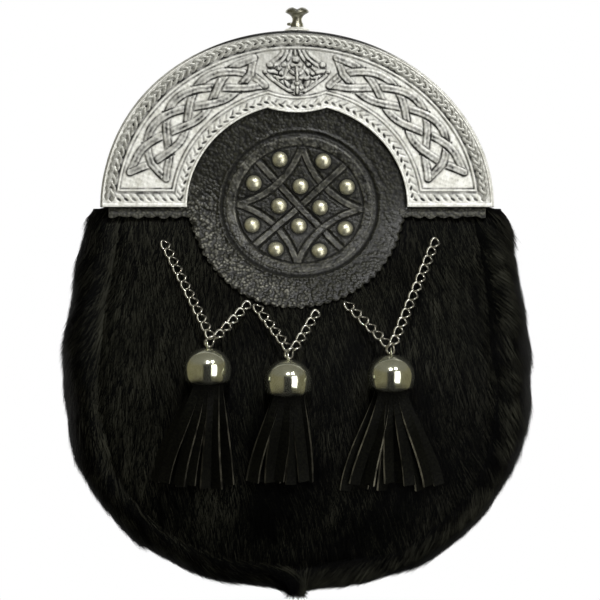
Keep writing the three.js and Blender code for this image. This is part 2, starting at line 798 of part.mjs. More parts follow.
function tasselStrips(tassel) {
  const mouth = tassel.top - BELL.height;
  const { headRise, headRadius, straight } = STRIPS;
  const head = new THREE.CylinderGeometry(headRadius, headRadius, headRise, BELL.sides);
  head.rotateX(Math.PI / 2);
  head.translate(tassel.x, bellAxisY(tassel), mouth + headRise / 2 + straight);
  const strips = Array.from({ length: STRIPS.count }, (_, i) => stripSolid(tassel, i));
  return join([toSolid(head), ...strips]);
}

// A plain bridge on the back for the strap to pass along X.
function beltLoop(side) {
  const { x, width, reach, foot, ramp, gap, thick } = BELT_LOOP;
  const bend = reach - foot;
  const upper = [flat(reach, 0), flat(reach, thick), flat(bend, thick), flat(bend - ramp, gap + thick)];
  const lower = [flat(bend, 0), flat(bend - ramp, gap)];
  const mirrored = (points) => points.map((point) => flat(-point.x, point.y));
  const top = [...upper, ...mirrored(upper).reverse()];
  const shape = new THREE.Shape([...top, ...mirrored(lower), ...lower.reverse()]);
  const geometry = new THREE.ExtrudeGeometry(shape, { depth: width, bevelEnabled: false });
  geometry.applyMatrix4(new THREE.Matrix4().makeBasis(place(0, 0, 1), place(0, 1, 0), place(-1, 0, 0)));
  geometry.translate(side * x + width / 2, SEAM_GAP, 0);
  return toSolid(geometry);
}

// The assembly

const sporran = new THREE.Group();

function addPiece(name, solid, finish) {
  const mesh = new THREE.Mesh(toGeometry(solid), new THREE.MeshStandardMaterial(COLOURS[finish]));
  mesh.name = name;
  sporran.add(mesh);
}

addPiece("front_panel", frontPanel(), "hide");
addPiece("gusset", gusset(), "hide");
addPiece("back_panel", backPanel(), "leather");
addPiece("flap", flap(), "leather");
studPlaces().forEach((spot, i) => {
  addPiece(`stud_${String(i + 1).padStart(2, "0")}`, stud(spot), "brightMetal");
});
addPiece("cantle", cantle(), "castMetal");
addPiece("knob", knob(), "castMetal");
for (const tassel of TASSELS) {
  addPiece(`chain_${tassel.side}`, chain(tassel), "brightMetal");
  addPiece(`bell_${tassel.side}`, bell(tassel), "brightMetal");
  addPiece(`tassel_${tassel.side}`, tasselStrips(tassel), "cutLeather");
}
addPiece("belt_loop_left", beltLoop(-1), "leather");
addPiece("belt_loop_right", beltLoop(1), "leather");

export default sporran;
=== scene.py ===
"""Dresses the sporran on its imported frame: hair on the hide, tooled and studded leather, cast
knotwork, link chains, bells and cut leather tassels.

Sizes are in millimetres, X to the viewer's right, Y to the back and Z up, and turn to metres where
a mesh is made.
"""

import logging
import math
from collections.abc import Callable, Mapping, Sequence
from dataclasses import dataclass, field
from enum import Enum
from typing import Any

import bmesh
import bpy
import numpy as np
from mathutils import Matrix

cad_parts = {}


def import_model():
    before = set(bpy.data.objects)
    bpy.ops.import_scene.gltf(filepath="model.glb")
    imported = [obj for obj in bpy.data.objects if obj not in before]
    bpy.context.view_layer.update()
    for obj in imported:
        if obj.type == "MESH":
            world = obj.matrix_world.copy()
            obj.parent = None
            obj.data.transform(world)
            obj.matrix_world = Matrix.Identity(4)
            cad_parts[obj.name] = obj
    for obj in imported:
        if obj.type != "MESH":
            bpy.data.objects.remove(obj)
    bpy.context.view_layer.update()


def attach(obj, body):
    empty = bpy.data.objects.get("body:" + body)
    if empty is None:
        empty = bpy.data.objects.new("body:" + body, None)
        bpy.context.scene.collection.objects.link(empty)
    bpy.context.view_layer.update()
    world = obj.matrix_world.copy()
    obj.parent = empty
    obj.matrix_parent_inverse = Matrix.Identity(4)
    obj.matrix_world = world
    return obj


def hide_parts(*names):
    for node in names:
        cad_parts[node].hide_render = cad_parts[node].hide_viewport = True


MM = 0.001
BODY = "root"
LOG = logging.getLogger("sporran")

Array = np.ndarray
Material = bpy.types.Material
Node = bpy.types.Node
Object = bpy.types.Object
Socket = bpy.types.NodeSocket
Tree = bpy.types.NodeTree
Places = tuple[tuple[float, ...], ...]

TO_RIGHT, TO_BACK, UPWARDS = np.eye(3)
CURVE_STEPS = 5
WELD = 0.001
TINY = 1e-9
SMALL = 1e-6
OUTSIDE = 99.0
NO_STRAP = -9.0
PLACE_TABLES = ("face", "along", "size")


class Slot(Enum):
    """The record's material slots."""

    HIDE = "hair_hide"
    BACK = "back_leather"
    TOOLED = "tooled_leather"
    STRIP = "strip_leather"
    CANTLE = "cantle_metal"
    STUD = "stud_nickel"
    CHAIN = "chain_steel"
    BELL = "bell_chrome"


class Side(Enum):
    """The two mirrored halves of the sporran."""

    LEFT = -1
    RIGHT = 1

    @property
    def label(self) -> str:
        """The side as it stands in a piece's name."""
        return self.name.lower()


# Numbers and curves


def smooth(value: Array, low: float, high: float) -> Array:
    """Eases from 0 at low to 1 at high."""
    t = np.clip((value - low) / (high - low), 0.0, 1.0)
    return t * t * (3.0 - 2.0 * t)


def ridge(distance: Array, width: float) -> Array:
    """A rounded line: 1 on the line and fading over the width."""
    return np.exp(-((distance / width) ** 2))


def ripple(x: Array, z: Array, wavelength: float, seed: int) -> Array:
    """Slow uneven waves from -1 to 1, the same each run.

    Args:
        x: Places across, in millimetres.
        z: Places up, in millimetres.
        wavelength: The typical distance between two crests.
        seed: Chooses the pattern.

    Returns:
        One value for each place.
    """
    rng = np.random.default_rng(seed)
    total = np.zeros(np.broadcast(x, z).shape)
    waves = 6
    for _ in range(waves):
        turn = rng.uniform(0.0, 2.0 * math.pi)
        pitch = 2.0 * math.pi / (wavelength * rng.uniform(0.7, 1.6))
        along = np.cos(turn) * x + np.sin(turn) * z
        total = total + np.sin(along * pitch + rng.uniform(0.0, 2.0 * math.pi))
    return total / math.sqrt(2.0 * waves)


def unit(vectors: Array) -> Array:
    """Vectors of length 1 along the last axis."""
    length = np.linalg.norm(vectors, axis=-1, keepdims=True)
    return vectors / np.maximum(length, TINY)


def part_way(first: Any, second: Any, share: Any) -> Any:
    """What lies a share of the way from the first to the second."""
    return first + (second - first) * share


def joined(*columns: Any) -> Array:
    """Numbers and tables of one size side by side, along a new last axis."""
    return np.stack(np.broadcast_arrays(*columns), axis=-1)


def angles(first: float, last: float, count: int) -> Array:
    """Even turns from one angle in degrees to another, in radians."""
    return np.radians(np.linspace(first, last, count))


def circle(sides: int) -> Array:
    """Even turns once round, in radians."""
    return np.linspace(0.0, 2.0 * math.pi, sides, endpoint=False)


def ellipse(half: Any, rise: Any, turn: Array) -> Array:
    """An ellipse's points at each turn, as rows of two numbers."""
    return joined(half * np.cos(turn), rise * np.sin(turn))


def beyond_ellipse(x: Array, z: Array, half: float, rise: float) -> Array:
    """About how far each place lies outside an ellipse round the origin."""
    level = np.sqrt((x / half) ** 2 + (z / rise) ** 2)
    slope = np.hypot(x / half**2, z / rise**2) / np.maximum(level, SMALL)
    return (level - 1.0) / np.maximum(slope, TINY)


def travelled(line: Array) -> Array:
    """The distance along a drawn line at each of its points."""
    return np.concatenate([[0.0], np.cumsum(np.hypot(*np.diff(line, axis=0).T))])


def curved(points: Array) -> Array:
    """A smooth line through points, with a fixed number of steps between each two."""
    ends = np.concatenate([[2.0 * points[0] - points[1]], points, [2.0 * points[-1] - points[-2]]])
    part = np.linspace(0.0, 1.0, CURVE_STEPS, endpoint=False)[:, None]
    rows = []
    for a, b, c, d in zip(ends, ends[1:], ends[2:], ends[3:]):
        bend = 2.0 * a - 5.0 * b + 4.0 * c - d + part * (3.0 * (b - c) + d - a)
        rows.append(b + 0.5 * part * (c - a + part * bend))
    return np.concatenate([*rows, points[-1:]])


def line_distance(places: Array, line: Array) -> tuple[Array, Array]:
    """How far each place lies from a drawn line.

    Args:
        places: Points as rows of two numbers.
        line: The line's corner points as rows of two numbers.

    Returns:
        The distances, and the station on the line, counted in its corners.
    """
    nearest = np.full(len(places), np.inf)
    station = np.zeros(len(places))
    for i in range(len(line) - 1):
        step = line[i + 1] - line[i]
        share = np.clip((places - line[i]) @ step / (step @ step), 0.0, 1.0)
        away = places - line[i] - share[:, None] * step
        distance = np.hypot(away[:, 0], away[:, 1])
        closer = distance < nearest
        nearest = np.where(closer, distance, nearest)
        station = np.where(closer, i + share, station)
    return nearest, station


# Meshes


def show(name: str, data: bpy.types.ID) -> Object:
    """Puts a mesh, a light or a camera into the scene."""
    thing = bpy.data.objects.new(name, data)
    bpy.context.scene.collection.objects.link(thing)
    return thing


def add_piece(name: str, points: Array, faces: Sequence, finish: Material, even: bool = True) -> Object:
    """Makes a mesh object in the scene.

    Args:
        name: The object's name.
        points: Rows of x, y, z in millimetres.
        faces: Rows of corner numbers.
        finish: The material of the first slot.
        even: Whether the faces shade smoothly.

    Returns:
        The new object.
    """
    mesh = bpy.data.meshes.new(name)
    rows = [list(map(int, face)) for face in faces]
    mesh.from_pydata((np.asarray(points, float) * MM).tolist(), [], rows)
    mesh.polygons.foreach_set("use_smooth", [even] * len(mesh.polygons))
    mesh.materials.append(finish)
    mesh.update()
    return show(name, mesh)


def add_line(name: str, points: Array, closed: bool) -> Object:
    """Makes a mesh of edges only, for a pattern to follow."""
    count = len(points)
    edges = [(i, (i + 1) % count) for i in range(count if closed else count - 1)]
    mesh = bpy.data.meshes.new(name)
    mesh.from_pydata((np.asarray(points, float) * MM).tolist(), edges, [])
    return show(name, mesh)


def store(piece: Object, name: str, values: Array) -> None:
    """Keeps a number or a vector for each point of a piece under a name."""
    values = np.asarray(values, np.float32)
    vector = values.ndim == 2
    kind = "FLOAT_VECTOR" if vector else "FLOAT"
    layer = piece.data.attributes.new(name, kind, "POINT")
    layer.data.foreach_set("vector" if vector else "value", values.ravel())


def mend(piece: Object) -> Object:
    """Merges a piece's doubled points, turns all its faces outwards and gives it back."""
    shape = bmesh.new()
    shape.from_mesh(piece.data)
    bmesh.ops.remove_doubles(shape, verts=shape.verts, dist=WELD * MM)
    bmesh.ops.recalc_face_normals(shape, faces=shape.faces)
    shape.to_mesh(piece.data)
    shape.free()
    piece.data.update()
    return piece


def remove(piece: Object) -> None:
    """Takes an object and its mesh out of the file."""
    mesh = piece.data
    bpy.data.objects.remove(piece)
    bpy.data.meshes.remove(mesh)


def grid_faces(rows: int, columns: int, wrap: bool = False) -> Array:
    """Four-cornered faces over a grid of points.

    Args:
        rows: Rows of points.
        columns: Points in a row.
        wrap: Whether the last column joins the first.

    Returns:
        Rows of four corner numbers.
    """
    spans = columns if wrap else columns - 1
    row, column = np.meshgrid(np.arange(rows - 1), np.arange(spans), indexing="ij")
    here = row * columns + column
    beside = row * columns + (column + 1) % columns
    quads = np.stack([here, beside, beside + columns, here + columns], axis=-1)
    return quads.reshape(-1, 4)


def shell(outer: Array, inner: Array) -> tuple[Array, Array]:
    """A closed wall between two grids of points of the same size.

    Args:
        outer: Rows by columns by x, y, z.
        inner: The same for the other face.

    Returns:
        The points and the four-cornered faces.
    """
    rows, columns = outer.shape[:2]
    points = np.concatenate([outer.reshape(-1, 3), inner.reshape(-1, 3)])
    front = grid_faces(rows, columns)
    back = front[:, ::-1] + rows * columns
    numbers = np.arange(rows * columns).reshape(rows, columns)
    border = np.concatenate([numbers[0, :-1], numbers[:-1, -1], numbers[-1, :0:-1], numbers[:0:-1, 0]])
    after = np.roll(border, -1)
    rim = np.stack([after, border, border + rows * columns, after + rows * columns], axis=-1)
    return points, np.concatenate([front, back, rim])


def merged(parts: Sequence[tuple[Array, Sequence]]) -> tuple[Array, list[list[int]]]:
    """Several tables of points, each with its faces, as one.

    Args:
        parts: Pairs of points and faces.

    Returns:
        All the points and all the faces.
    """
    points: list[Array] = []
    faces: list[list[int]] = []
    for part, loops in parts:
        start = sum(len(table) for table in points)
        faces += [[start + int(corner) for corner in loop] for loop in loops]
        points.append(part)
    return np.concatenate(points), faces


def cap(pole: int, ring: Array) -> list[list[int]]:
    """Triangles from one point to each step of a closed ring of points."""
    return joined(pole, ring, np.roll(ring, -1)).tolist()


def tube_faces(count: int, sides: int) -> list[list[int]]:
    """Faces over rows of closed sections, with a cap at each end."""
    last = (count - 1) * sides
    caps = [list(range(sides))[::-1], list(range(last, last + sides))]
    return grid_faces(count, sides, wrap=True).tolist() + caps


def revolve(profile: Array, sides: int) -> tuple[Array, Array]:
    """Turns a closed profile of radius and height about the upright axis.

    Args:
        profile: Rows of radius and height, from axis to axis.
        sides: Steps round the axis.

    Returns:
        The points and the four-cornered faces.
    """
    radius, height = profile[:, :1], profile[:, 1:]
    turn = circle(sides)
    points = joined(radius * np.cos(turn), radius * np.sin(turn), height)
    return points.reshape(-1, 3), grid_faces(len(profile), sides, wrap=True)


def sweep(
    centres: Array, outward: Array, across: Array, section: Array, closed: bool = False
) -> tuple[Array, Sequence]:
    """Carries a section along a path.

    Args:
        centres: The path, rows of x, y, z.
        outward: The section's first direction, at each station or for all.
        across: The section's second direction, at each station or for all.
        section: Rows of two numbers, or one such table for each station.
        closed: Whether the path's end joins its start. Otherwise both ends are capped.

    Returns:
        The points and the faces.
    """
    table = np.broadcast_to(section, (len(centres), *section.shape[-2:]))
    first, second = (np.broadcast_to(way, centres.shape)[:, None] for way in (outward, across))
    points = centres[:, None] + table[..., :1] * first + table[..., 1:] * second
    count, sides = points.shape[:2]
    ring = grid_faces(count + 1, sides, wrap=True) % (count * sides)
    return points.reshape(-1, 3), ring if closed else tube_faces(count, sides)


# Node trees


def feed(tree: Tree, node: Node, inputs: Mapping[Any, Any]) -> None:
    """Sets a node's inputs to values, or links them to the sockets that feed them."""
    for key, value in inputs.items():
        if isinstance(value, Socket):
            tree.links.new(value, node.inputs[key])
        else:
            node.inputs[key].default_value = value


def add_node(tree: Tree, kind: str, inputs: Mapping[Any, Any] | None = None, **settings: Any) -> Node:
    """Adds one node, sets it up and links it.

    Args:
        tree: The tree that gets the node.
        kind: Blender's name of the node type.
        inputs: Socket name or number to a value, or to the socket that feeds it.
        **settings: The node's own properties.

    Returns:
        The new node.
    """
    node = tree.nodes.new(kind)
    for name, value in settings.items():
        setattr(node, name, value)
    feed(tree, node, inputs or {})
    return node


def worked(tree: Tree, operation: str, *values: Any, **settings: Any) -> Socket:
    """The result of a calculation with sockets and numbers, as a socket."""
    inputs = dict(enumerate(values))
    return add_node(tree, "ShaderNodeMath", inputs, operation=operation, **settings).outputs[0]


def product(tree: Tree, first: Any, second: Any) -> Socket:
    """Two sockets or numbers multiplied, as a socket."""
    return worked(tree, "MULTIPLY", first, second)


def carried_value(tree: Tree, name: str, kind: str = "FLOAT") -> Socket:
    """What the carrier's points store under a name, as a socket of a geometry tree."""
    node = add_node(tree, "GeometryNodeInputNamedAttribute", {"Name": name}, data_type=kind)
    return node.outputs["Attribute"]


def chance(tree: Tree, low: Any, high: Any, seed: int) -> Socket:
    """A random number for each instance, as a socket."""
    inputs = {2: low, 3: high, "Seed": seed}
    return add_node(tree, "FunctionNodeRandomValue", inputs, data_type="FLOAT").outputs[1]


def new_tree(name: str, **inputs: str) -> tuple[Tree, Mapping[str, Socket]]:
    """Starts a geometry node tree that repeats a pattern.

    Args:
        name: The tree's name.
        **inputs: The socket type of each named input beside the pattern and its material.

    Returns:
        The tree and its inputs' sockets.
    """
    tree = bpy.data.node_groups.new(name, "GeometryNodeTree")
    kinds = {"Geometry": "Geometry", "Pattern": "Object", **inputs, "Material": "Material"}
    for label, kind in kinds.items():
        tree.interface.new_socket(label, in_out="INPUT", socket_type=f"NodeSocket{kind}")
    tree.interface.new_socket("Geometry", in_out="OUTPUT", socket_type="NodeSocketGeometry")
    return tree, add_node(tree, "NodeGroupInput").outputs


def set_on(tree: Tree, given: Mapping[str, Socket], points: Socket, turn: Socket, **more: Socket) -> Socket:
    """Sets the tree's pattern on points with a rotation, and with a scale where one is given."""
    pattern = add_node(tree, "GeometryNodeObjectInfo", {"Object": given["Pattern"]}).outputs["Geometry"]
    inputs = {"Points": points, "Instance": pattern, "Rotation": turn, **more}
    return add_node(tree, "GeometryNodeInstanceOnPoints", inputs).outputs["Instances"]


def finish_tree(tree: Tree, given: Mapping[str, Socket], instances: Socket) -> Tree:
    """Ends a tree: the instances become plain faces with one material."""
    real = add_node(tree, "GeometryNodeRealizeInstances", {"Geometry": instances}).outputs["Geometry"]
    dressed = add_node(tree, "GeometryNodeSetMaterial", {"Geometry": real, "Material": given["Material"]})
    add_node(tree, "NodeGroupOutput", {"Geometry": dressed.outputs["Geometry"]})
    return tree


def facing(tree: Tree, normal: Socket, along: Socket) -> Socket:
    """A rotation that turns a pattern's Z to the normal and its X along a direction."""
    inputs = {"Primary Axis": normal, "Secondary Axis": along}
    node = add_node(tree, "FunctionNodeAxesToRotation", inputs, primary_axis="Z", secondary_axis="X")
    return node.outputs[0]


def hair_tree() -> Tree:
    """Hairs over a surface, laid along its combed direction."""
    numbers = dict.fromkeys(("Density", "Shortest", "Longest", "Sway", "Lift"), "Float")
    tree, given = new_tree("hair_coat", **numbers, Seed="Int")
    density = product(tree, carried_value(tree, "cover"), given["Density"])
    roots = add_node(
        tree,
        "GeometryNodeDistributePointsOnFaces",
        {"Mesh": given["Geometry"], "Density": density, "Seed": given["Seed"]},
        distribute_method="RANDOM",
    ).outputs
    lay = facing(tree, roots["Normal"], carried_value(tree, "comb", "FLOAT_VECTOR"))
    sway = chance(tree, product(tree, given["Sway"], -1.0), given["Sway"], 7)
    lift = chance(tree, product(tree, given["Lift"], -0.15), given["Lift"], 8)
    loose = add_node(tree, "ShaderNodeCombineXYZ", {"Y": product(tree, lift, -1.0), "Z": sway})
    turned = add_node(
        tree,
        "FunctionNodeRotateRotation",
        {"Rotation": lay, "Rotate By": loose.outputs[0]},
        rotation_space="LOCAL",
    )
    length = chance(tree, given["Shortest"], given["Longest"], 11)
    scale = product(tree, carried_value(tree, "pile"), length)
    hairs = set_on(tree, given, roots["Points"], turned.outputs[0], Scale=scale)
    # Each hair's tone is random up to the stored shade, which holds painted sheen and painted light.
    tone = chance(tree, 0.0, carried_value(tree, "shade"), 7)
    toned = add_node(
        tree,
        "GeometryNodeStoreNamedAttribute",
        {"Geometry": hairs, "Name": "tone", "Value": tone},
        data_type="FLOAT",
        domain="INSTANCE",
    )
    return finish_tree(tree, given, toned.outputs["Geometry"])


def placed_tree() -> Tree:
    """A pattern set on each point, turned by the point's stored directions."""
    tree, given = new_tree("placed_pattern")
    face, along, size = (carried_value(tree, name, "FLOAT_VECTOR") for name in PLACE_TABLES)
    placed = set_on(tree, given, given["Geometry"], facing(tree, face, along), Scale=size)
    return finish_tree(tree, given, placed)


def row_tree() -> Tree:
    """A pattern repeated along a drawn line at an even pitch."""
    tree, given = new_tree("pattern_row", Pitch="Float", Facing="Vector")
    curve = add_node(tree, "GeometryNodeMeshToCurve", {"Mesh": given["Geometry"]}).outputs["Curve"]
    even = add_node(
        tree, "GeometryNodeResampleCurve", {"Curve": curve, "Length": given["Pitch"]}, mode="LENGTH"
    )
    along = add_node(tree, "GeometryNodeInputTangent").outputs["Tangent"]
    placed = set_on(tree, given, even.outputs["Curve"], facing(tree, given["Facing"], along))
    return finish_tree(tree, given, placed)


def grow(name: str, carrier: Object, tree: Tree, values: Mapping[str, Any]) -> Object:
    """Runs a node tree on a carrier and keeps the result as a plain piece.

    Args:
        name: The new piece's name.
        carrier: The object whose mesh the tree reads. It is removed.
        tree: The geometry node tree.
        values: The tree's named inputs.

    Returns:
        The new piece.
    """
    modifier = carrier.modifiers.new(tree.name, "NODES")
    modifier.node_group = tree
    for item in tree.interface.items_tree:
        if item.item_type == "SOCKET" and item.in_out == "INPUT" and item.name in values:
            modifier[item.identifier] = values[item.name]
    bpy.context.view_layer.update()
    graph = bpy.context.evaluated_depsgraph_get()
    mesh = bpy.data.meshes.new_from_object(carrier.evaluated_get(graph))
    mesh.name = name
    mesh.polygons.foreach_set("use_smooth", [True] * len(mesh.polygons))
    piece = show(name, mesh)
    carrier.modifiers.remove(modifier)
    remove(carrier)
    return piece


def set_out(name: str, pattern: Object, points: Array, tables: Sequence[Array], finish: Material) -> Object:
    """Sets a pattern at each of several places and removes it.

    Args:
        name: The new piece's name.
        pattern: What is repeated.
        points: The places, rows of x, y, z.
        tables: Where the pattern faces, its direction and its size, at each place or for all.
        finish: The material.

    Returns:
        The new piece.
    """
    carrier = add_piece(f"{name}_points", points, [], finish)
    for label, table in zip(PLACE_TABLES, tables):
        store(carrier, label, np.broadcast_to(table, points.shape))
    piece = grow(name, carrier, placed_tree(), {"Pattern": pattern, "Material": finish})
    remove(pattern)
    return piece


def lay_row(
    name: str, pattern: Object, line: Object, pitch: float, face: tuple[float, ...], finish: Material
) -> Object:
    """Repeats a pattern at a pitch along a line of edges, which is removed, and turns its Z to face."""
    values = {"Pattern": pattern, "Pitch": pitch * MM, "Facing": face, "Material": finish}
    return grow(name, line, row_tree(), values)


def seat(piece: Object, slot: Slot, *nodes: str) -> Object:
    """Puts a finished piece on the frame's body.

    Args:
        piece: The finished piece.
        slot: The record's material slot; not used.
        *nodes: The frame's nodes that it stands for.

    Returns:
        The piece.
    """
    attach(piece, BODY)
    if nodes:
        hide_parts(*nodes)
    LOG.info("%s: %d faces", piece.name, len(piece.data.polygons))
    return piece


# Finishes


def linear(colour: str) -> tuple[float, float, float, float]:
    """Turns an sRGB hex colour to linear red, green, blue and full alpha."""
    values = [int(colour[i : i + 2], 16) / 255.0 for i in (1, 3, 5)]
    red, green, blue = [v / 12.92 if v <= 0.04045 else ((v + 0.055) / 1.055) ** 2.4 for v in values]
    return red, green, blue, 1.0


def per_metre(size: float) -> float:
    """The scale of a pattern whose cells are this many millimetres wide."""
    return 1.0 / (size * MM)


def new_material(name: str, **constants: Any) -> tuple[Material, Tree, Node]:
    """Starts a material with one Principled shader.

    Args:
        name: The material's name.
        **constants: The shader's fixed inputs, with spaces as underscores.

    Returns:
        The material, its tree and the shader node.
    """
    material = bpy.data.materials.new(name)
    material.use_nodes = True
    tree = material.node_tree
    tree.nodes.clear()
    fixed = {label.replace("_", " "): value for label, value in constants.items()}
    shader = add_node(tree, "ShaderNodeBsdfPrincipled", fixed)
    add_node(tree, "ShaderNodeOutputMaterial", {"Surface": shader.outputs["BSDF"]})
    return material, tree, shader


def stored(tree: Tree, name: str) -> Socket:
    """A piece's stored number, as a socket."""
    return add_node(tree, "ShaderNodeAttribute", attribute_name=name).outputs["Fac"]


def blend(tree: Tree, share: Any, first: Any, second: Any) -> Socket:
    """Mixes two colours by a share, as a socket. A colour is a socket or an sRGB hex."""
    ends = [linear(colour) if isinstance(colour, str) else colour for colour in (first, second)]
    return add_node(tree, "ShaderNodeMix", {0: share, 6: ends[0], 7: ends[1]}, data_type="RGBA").outputs[2]


def between(tree: Tree, value: Any, ends: Sequence[float], to: Sequence[float] = (0.0, 1.0)) -> Socket:
    """Maps a value from one range to another, as a socket."""
    inputs = {0: value, 1: ends[0], 2: ends[1], 3: to[0], 4: to[1]}
    return add_node(tree, "ShaderNodeMapRange", inputs).outputs[0]


def own_place(tree: Tree) -> Socket:
    """Where a place lies on the piece itself, as a socket."""
    return add_node(tree, "ShaderNodeTexCoord").outputs["Object"]


def noise(tree: Tree, size: float, detail: float, rough: float = 0.5) -> Mapping[str, Socket]:
    """Clouds this many millimetres wide, fixed to the piece, as sockets."""
    inputs = {"Vector": own_place(tree), "Scale": per_metre(size), "Detail": detail, "Roughness": rough}
    return add_node(tree, "ShaderNodeTexNoise", inputs).outputs


def bump(tree: Tree, height: Socket, strength: float, depth: float) -> Socket:
    """The surface's normal over bumps up to this many millimetres high, as a socket."""
    inputs = {"Height": height, "Strength": strength, "Distance": depth * MM}
    return add_node(tree, "ShaderNodeBump", inputs).outputs["Normal"]


@dataclass(frozen=True)
class HairFinish:
    """Short bovine hair, dyed black: thin strands, some paler brown by a random tone up to the stored shade,
    which holds painted sheen and painted light.
    """

    name: str = "black_cow_hair"
    dark: str = "#010101"
    light: str = "#32322a"
    roughness: float = 0.55
    specular: float = 0.03
    tones: tuple[float, float] = (0.55, 1.5)

    def build(self) -> Material:
        """Returns the hair's material."""
        material, tree, shader = new_material(
            self.name, Roughness=self.roughness, Specular_IOR_Level=self.specular
        )
        tone = between(tree, stored(tree, "tone"), self.tones)
        feed(tree, shader, {"Base Color": blend(tree, tone, self.dark, self.light)})
        return material


@dataclass(frozen=True)
class SkinFinish:
    """The hide under the hair: dull dark skin that only shows as depth between the hairs."""

    name: str = "dyed_hide_skin"
    dark: str = "#020202"
    light: str = "#060605"
    pore: float = 0.9
    pore_depth: float = 0.3

    def build(self) -> Material:
        """Returns the skin's material."""
        material, tree, shader = new_material(self.name, Roughness=0.85, Specular_IOR_Level=0.04)
        pores = noise(tree, self.pore, 4.0)["Fac"]
        colour = blend(tree, pores, self.dark, self.light)
        feed(tree, shader, {"Base Color": colour, "Normal": bump(tree, pores, 0.4, self.pore_depth)})
        return material


@dataclass(frozen=True)
class LeatherFinish:
    """Full-grain cowhide, dyed and waxed black: pebbles that glint, painted shade in the creases between
    them, dark tooled lines with painted shade in them, clouds instead of pebbles where it is smoothed, and a
    pale grain on its scuffs and its painted highlights."""

    name: str
    dark: str
    light: str
    pebble: float
    depth: float
    roughness: tuple[float, float]
    specular: float
    patch: float = 14.0
    drift: float = 0.0008
    # The pale colour of scuffs and of painted highlights.
    chafed: str = "#7f7e75"
    # The colour of the dark tooled lines, and of the painted shade and shadow stored with them.
    groove: str = "#020202"

    def build(self) -> Material:
        """Returns the leather's material, which reads the stored darkness of the tooled lines and painted
        shade, the smoothing, and the share of scuffs and painted highlights.
        """
        material, tree, shader = new_material(self.name, Specular_IOR_Level=self.specular)
        drift = noise(tree, self.pebble * 2.5, 3.0)
        bent = add_node(
            tree, "ShaderNodeMix", {0: self.drift, 4: own_place(tree), 5: drift["Color"]}, data_type="VECTOR"
        )
        cells = add_node(
            tree,
            "ShaderNodeTexVoronoi",
            {"Vector": bent.outputs[1], "Scale": per_metre(self.pebble), "Smoothness": 0.35},
            feature="SMOOTH_F1",
        )
        patches = noise(tree, self.patch, 3.0)["Fac"]
        crown = between(tree, cells.outputs["Distance"], (0.1, 0.75), (1.0, 0.0))
        smoothed, groove = stored(tree, "smoothed"), stored(tree, "groove")
        grain = product(tree, crown, worked(tree, "SUBTRACT", 1.0, smoothed))
        # Darker in the creases between pebbles: painted shade; paler on pebble tops in patches.
        dyed = blend(tree, product(tree, patches, crown), self.dark, self.light)
        proud = between(tree, crown, (0.35, 0.85), (0.05, 1.0))
        clouds = between(tree, drift["Fac"], (0.38, 0.66))
        evened = add_node(tree, "ShaderNodeMix", {0: smoothed, 2: proud, 3: clouds}, data_type="FLOAT")
        # Paler by the stored share of scuffs and painted highlights, on pebble tops or evenly where smoothed.
        share = product(tree, stored(tree, "scuffed"), evened.outputs[0])
        rubbed = blend(tree, share, dyed, self.chafed)
        gloss = between(tree, patches, (0.3, 0.7), self.roughness)
        dressed = {
            "Base Color": blend(tree, groove, rubbed, self.groove),
            "Roughness": worked(tree, "MULTIPLY_ADD", groove, 0.5, gloss, use_clamp=True),
            "Normal": bump(tree, grain, 0.9, self.depth),
        }
        feed(tree, shader, dressed)
        return material


@dataclass(frozen=True)
class CutEdgeFinish:
    """Raw cut edges of dyed leather: the grey fibres of the hide's core, dull and fuzzy."""

    name: str = "raw_cut_edge"
    dark: str = "#14130f"
    light: str = "#3c3a31"
    fibre: float = 5.0

    def build(self) -> Material:
        """Returns the cut edge's material."""
        material, tree, shader = new_material(self.name, Roughness=0.9, Specular_IOR_Level=0.1)
        share = between(tree, noise(tree, self.fibre, 5.0)["Fac"], (0.35, 0.65))
        feed(tree, shader, {"Base Color": blend(tree, share, self.dark, self.light)})
        return material


@dataclass(frozen=True)
class MetalFinish:
    """Plated metal: clean and mirror-like on the tops, dull and dark where the stored attribute says: patina
    in recesses, painted shade and painted reflection.
    """

    name: str
    bright: str
    tarnish: str
    dull: str
    roughness: tuple[float, float]
    purity: float = 1.0
    dent: float = 6.0
    dent_depth: float = 0.0
    patch: float = 7.0

    def build(self) -> Material:
        """Returns the metal's material. The stored attribute darkens it towards the dull colour: patina,
        painted shade and painted reflection.
        """
        material, tree, shader = new_material(self.name, Metallic=self.purity)
        wear = noise(tree, self.dent, 4.0, 0.6)["Fac"]
        aged = between(tree, noise(tree, self.patch, 7.0, 0.65)["Fac"], (0.42, 0.68))
        face = blend(tree, aged, self.bright, self.tarnish)
        colour = blend(tree, stored(tree, "hollow"), face, self.dull)
        rub = between(tree, wear, (0.3, 0.7), self.roughness)
        feed(tree, shader, {"Base Color": colour, "Roughness": rub})
        if self.dent_depth:
            feed(tree, shader, {"Normal": bump(tree, wear, 0.5, self.dent_depth)})
        return material


@dataclass(frozen=True)
class ThreadFinish:
    """Waxed linen thread: black, with a faint twist that glints."""

    name: str = "waxed_linen_thread"
    dark: str = "#0d0c0c"
    light: str = "#171615"
    twist: float = 2.0

    def build(self) -> Material:
        """Returns the thread's material."""
        material, tree, shader = new_material(self.name, Roughness=0.5)
        inputs = {"Vector": own_place(tree), "Scale": per_metre(self.twist), "Distortion": 1.0}
        twist = add_node(tree, "ShaderNodeTexWave", inputs).outputs["Fac"]
        feed(tree, shader, {"Base Color": blend(tree, twist, self.dark, self.light)})
        return material


def made(finish: Any) -> Any:
    """A dataclass field that holds the material of a finish."""
    return field(default_factory=finish.build)


